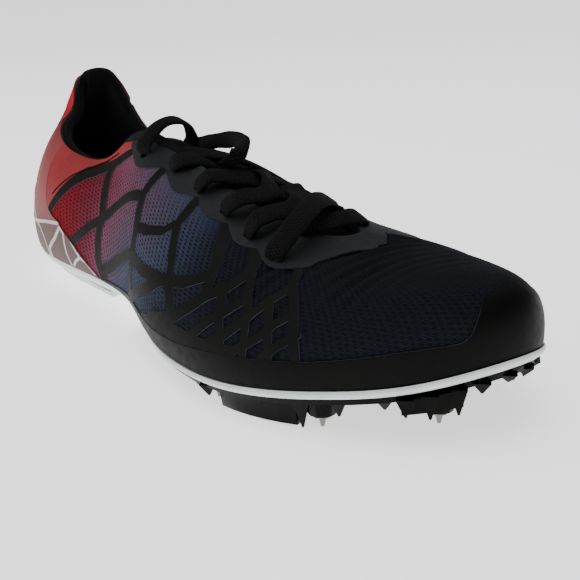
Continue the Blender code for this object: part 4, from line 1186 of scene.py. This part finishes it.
def tongue():
    """A sheet arched from side to side under the throat, in two layers, closed round."""
    p = np.linspace(0.236, 0.455, 60)
    t = along(((0.236, 0.93), (0.33, 0.92), (0.40, 0.86), (0.455, 0.82)), p)
    deep = UPPER_WALL + pad(p) + 0.0009
    share = np.linspace(0.0, 1.0, 25)[None, :, None]
    sheets = []
    for extra in (0.0, TONGUE):
        a, b = skin(p, t, -deep - extra), skin(1 - p, t, -deep - extra)
        rise_a, rise_b = (unit((profile(q, t) - profile(q, t - 0.02)) * [0.0, 1.0, 1.0])
                          for q in (p, 1 - p))
        reach = np.linalg.norm(a - b, axis=-1, keepdims=True) * 0.30
        a, b, c, d = [v[:, None] for v in (a, b, a + rise_a * reach, b + rise_b * reach)]
        sheets.append(cubic(a, c, d, b, share))
    rings = np.concatenate([sheets[0], sheets[1][:, ::-1]], 1)
    uv = sheet_uv(np.linspace(0, 0.13, len(rings)), rings.shape[1], 0.08)
    made = loft("tongue_sheet", rings, TONGUE_KNIT, uv)
    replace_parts(made, "tongue")


tongue()
print("collar and tongue made")

# %% [markdown]
# Sole. Each layer follows the feather edge: a corner of its section is a share of the way
# across, a distance out from the edge and a height for each place along the shoe. The
# foam is one soft white layer, thin at the forefoot and full under the heel.

# %% Sole layers
STRIP = 0.0028            # foam under the forefoot
STRIP_PROUD = 0.0008
HEEL_PAD = 0.0025
INSOLE = 0.0025
PROUD_RUN = ((0.0, -0.4), (0.20, -0.6), (0.34, -2.4), (0.50, -1.8), (0.64, 1.0), (1.0, 1.0))


def slab(name, p, corners, material):
    """Rings across the shoe: both sides of the feather edge, moved out, then a share
    between them, at the height that each corner's function gives."""
    rows = []
    for across, out, height in corners:
        out = np.broadcast_to(out, p.shape)[:, None]
        outer_side = feather(p) + outward(p) * out
        inner_side = feather(1 - p) + outward(1 - p) * out
        point = outer_side * (1 - across) + inner_side * across
        point[:, 2] = height(point[:, 0] / LENGTH + HEEL_CENTRE[0])
        rows.append(point)
    rings = np.stack(rows, 1)
    uv = rings[..., :2].reshape(-1, 2)
    return loft(name, rings, material, uv, caps=False)


def rear_share(share):
    """1 under the heel and 0 ahead of the arch, with a smooth step between."""
    rear = 1 - np.clip((share - 0.29) / 0.15, 0.0, 1.0)
    return rear * rear * (3 - 2 * rear)


def foam_bottom(share):
    """Underside of the foam: flat on the heel pad, then up to the thin strip."""
    rear = rear_share(share)
    return (HEEL_PAD + 0.0003) * rear + (seat(share) - STRIP) * (1 - rear)


def foam_finish():
    """White foam, matt, with faint moulded grain and a little grey here and there."""
    made, tree, shader = finish("midsole_foam", screen(226, 230, 232), 0.5, Specular_IOR_Level=0.4)
    uneven = between(tree, grain(tree, 90.0, 4.0), 0.3, 0.7)
    paint(tree, shader, mix(tree, uneven, screen(214, 218, 220), screen(232, 235, 237)))
    bump(tree, shader, grain(tree, 700.0, 2.0), 0.00005, 0.5)
    return made


FOAM = foam_finish()
around_half = np.linspace(0.0, 0.5, 241)
fx_share = periodic(STATIONS[:, 0], around_half)
proud = STRIP_PROUD * along(PROUD_RUN, fx_share)
rear = rear_share(fx_share)
belly = [0.35, 0.75, 1.0, 0.95, 0.65, 0.2]
side = []
for k, swell in enumerate(belly):
    drop = k / (len(belly) - 1)
    low_edge = 0.0010 + 0.0048 * rear
    out = np.minimum(proud, 0.0) - low_edge * drop ** 2.2 + np.maximum(proud, 0.0) * swell
    side.append((out, lambda share, drop=drop: (seat(share) - 0.0001) * (1 - drop)
                 + foam_bottom(share) * drop))
inset = np.minimum(proud, 0.0) - 0.0012
spots = (0.0, 0.33, 0.67, 1.0)
section = [(0.0, out, height) for out, height in side[::-1]]
section += [(s, inset, lambda share: seat(share) - 0.0003) for s in spots]
section += [(1.0, out, height) for out, height in side]
section += [(s, np.minimum(proud, 0.0) - 0.0020 - 0.0048 * rear, foam_bottom) for s in spots[::-1]]
midsole = slab("midsole_foam_layer", around_half, section, FOAM)
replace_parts(midsole, "midsole")

# %% [markdown]
# Insole. It fills the foot hole under the lining with one more layer of the same kind, flat
# on the seat and just clear of the wall.

# %% Insole
INSOLE_CLOTH = knit_finish("insole_cloth", screen(30, 30, 33))
inner_edge = -(UPPER_WALL + 0.0006)
section = [(s, inner_edge, lambda share: seat(share) + INSOLE) for s in (0.0, 0.25, 0.5, 0.75, 1.0)]
section += [(s, inner_edge, lambda share: seat(share) + 0.0001) for s in (1.0, 0.75, 0.5, 0.25, 0.0)]
insole = slab("insole_board", around_half, section, INSOLE_CLOTH)
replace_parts(insole, "insole")
print("sole layers made")

# %% [markdown]
# Plate, spikes and heel rubber are hard pieces with their own CAD shape. A moulded plate
# has small radii, though, which show as bright lines on its teeth. A welded copy of the
# CAD mesh gets a narrow bevel, and stands for the node.

# %% Hard pieces
def hard_copy(cad_node, name, material, radius):
    """Copy of a CAD node, welded, with its sharp edges rounded."""
    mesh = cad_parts[cad_node].data.copy()
    bm = bmesh.new()
    bm.from_mesh(mesh)
    bmesh.ops.remove_doubles(bm, verts=bm.verts, dist=2e-6)
    bmesh.ops.dissolve_limit(bm, angle_limit=math.radians(1.5), verts=bm.verts, edges=bm.edges)
    bm.to_mesh(mesh)
    bm.free()
    mesh.materials.clear()
    mesh.materials.append(material)
    obj = add_object(name, mesh)
    bevel = obj.modifiers.new("rounded", "BEVEL")
    bevel.width = radius
    bevel.segments = 2
    bevel.limit_method = "ANGLE"
    bevel.angle_limit = math.radians(28)
    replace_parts(obj, cad_node)


def plate_finish():
    """Glossy black moulding with a green cast, finely scuffed."""
    made, tree, shader = finish("plate_plastic", screen(6, 8, 6), 0.30, Specular_IOR_Level=0.06)
    scuffs = grain(tree, 260.0, 5.0, (1.0, 3.0, 1.0))
    paint(tree, shader, between(tree, scuffs, 0.35, 0.75, 0.16, 0.38), "Roughness")
    uneven = between(tree, grain(tree, 50.0), 0.4, 0.7)
    paint(tree, shader, mix(tree, uneven, screen(3, 4, 3), screen(9, 12, 8)))
    bump(tree, shader, grain(tree, 120.0, 2.0), 0.00015, 0.35)
    return made


def steel_finish():
    """Turned steel, fine rings round the pin."""
    made, tree, shader = finish("spike_steel", screen(128, 126, 120), 0.24, Metallic=1.0)
    rings = grain(tree, 500.0, 2.0, (0.2, 0.2, 6.0))
    paint(tree, shader, between(tree, rings, 0.3, 0.7, 0.18, 0.34), "Roughness")
    return made


def rubber_finish():
    """Pale solid rubber with a fine grain."""
    made, tree, shader = finish("outsole_rubber", screen(214, 216, 216), 0.6)
    uneven = between(tree, grain(tree, 200.0), 0.3, 0.7)
    paint(tree, shader, mix(tree, uneven, screen(204, 206, 206), screen(222, 224, 224)))
    bump(tree, shader, grain(tree, 900.0, 2.0), 0.0001, 0.5)
    return made


hard_copy("spike_plate", "spike_plate_moulding", plate_finish(), 0.00028)
hard_copy("heel_outsole", "heel_rubber", rubber_finish(), 0.0003)
STEEL = steel_finish()
for number in range(1, 7):
    hard_copy(f"spike_{number}", f"spike_pin_{number}", STEEL, 0.00012)
print("hard pieces made")

# %% [markdown]
# Studio. The photo is a cut-out on plain white with soft light from the front and above.
# A pale floor that glows a little under an even sky comes close, and three large soft
# lamps give the film its broad sheen.

# %% Floor, sky and lamps
FLOOR_GLOW = 1.25
SKY = 0.24


def studio():
    """Floor in two triangles far out, a sky of one colour, and area lamps aimed at the shoe."""
    reach = 6.0
    mesh = bpy.data.meshes.new("floor")
    mesh.from_pydata([(-reach, -reach, 0), (reach, -reach, 0), (reach, reach, 0), (-reach, reach, 0)],
                     [], [(0, 1, 2, 3)])
    floor = bpy.data.objects.new("floor", mesh)
    bpy.context.scene.collection.objects.link(floor)
    paper, tree, shader = finish("floor_paper", screen(252, 252, 252), 0.9, Specular_IOR_Level=0.0,
                                 Emission_Color=(1.0, 1.0, 1.0, 1.0), Emission_Strength=FLOOR_GLOW)
    mesh.materials.append(paper)
    world = bpy.data.worlds.new("studio")
    world.use_nodes = True
    sky = world.node_tree.nodes["Background"]
    sky.inputs["Color"].default_value = (1.0, 1.0, 1.0, 1.0)
    sky.inputs["Strength"].default_value = SKY
    bpy.context.scene.world = world
    target = np.array([0.12, 0.0, 0.04])
    lamps = (("lamp_front", (0.30, -0.35, 0.95), 0.7, 3.0),
             ("lamp_top", (-0.10, 0.25, 1.0), 1.0, 3.0),
             ("lamp_side", (-0.45, -0.65, 0.65), 0.6, 2.0))
    for name, where, size, power in lamps:
        lamp = bpy.data.lights.new(name, "AREA")
        lamp.shape = "SQUARE"
        lamp.size = size
        lamp.energy = power
        obj = bpy.data.objects.new(name, lamp)
        away = unit(np.array(where) - target)
        side_ = unit(np.cross([0, 0, 1.0], away))
        turned_ = np.eye(4)
        turned_[:3, :3] = np.stack([side_, np.cross(away, side_), away], 1)
        turned_[:3, 3] = where
        obj.matrix_world = Matrix(turned_.tolist())
        bpy.context.scene.collection.objects.link(obj)


studio()
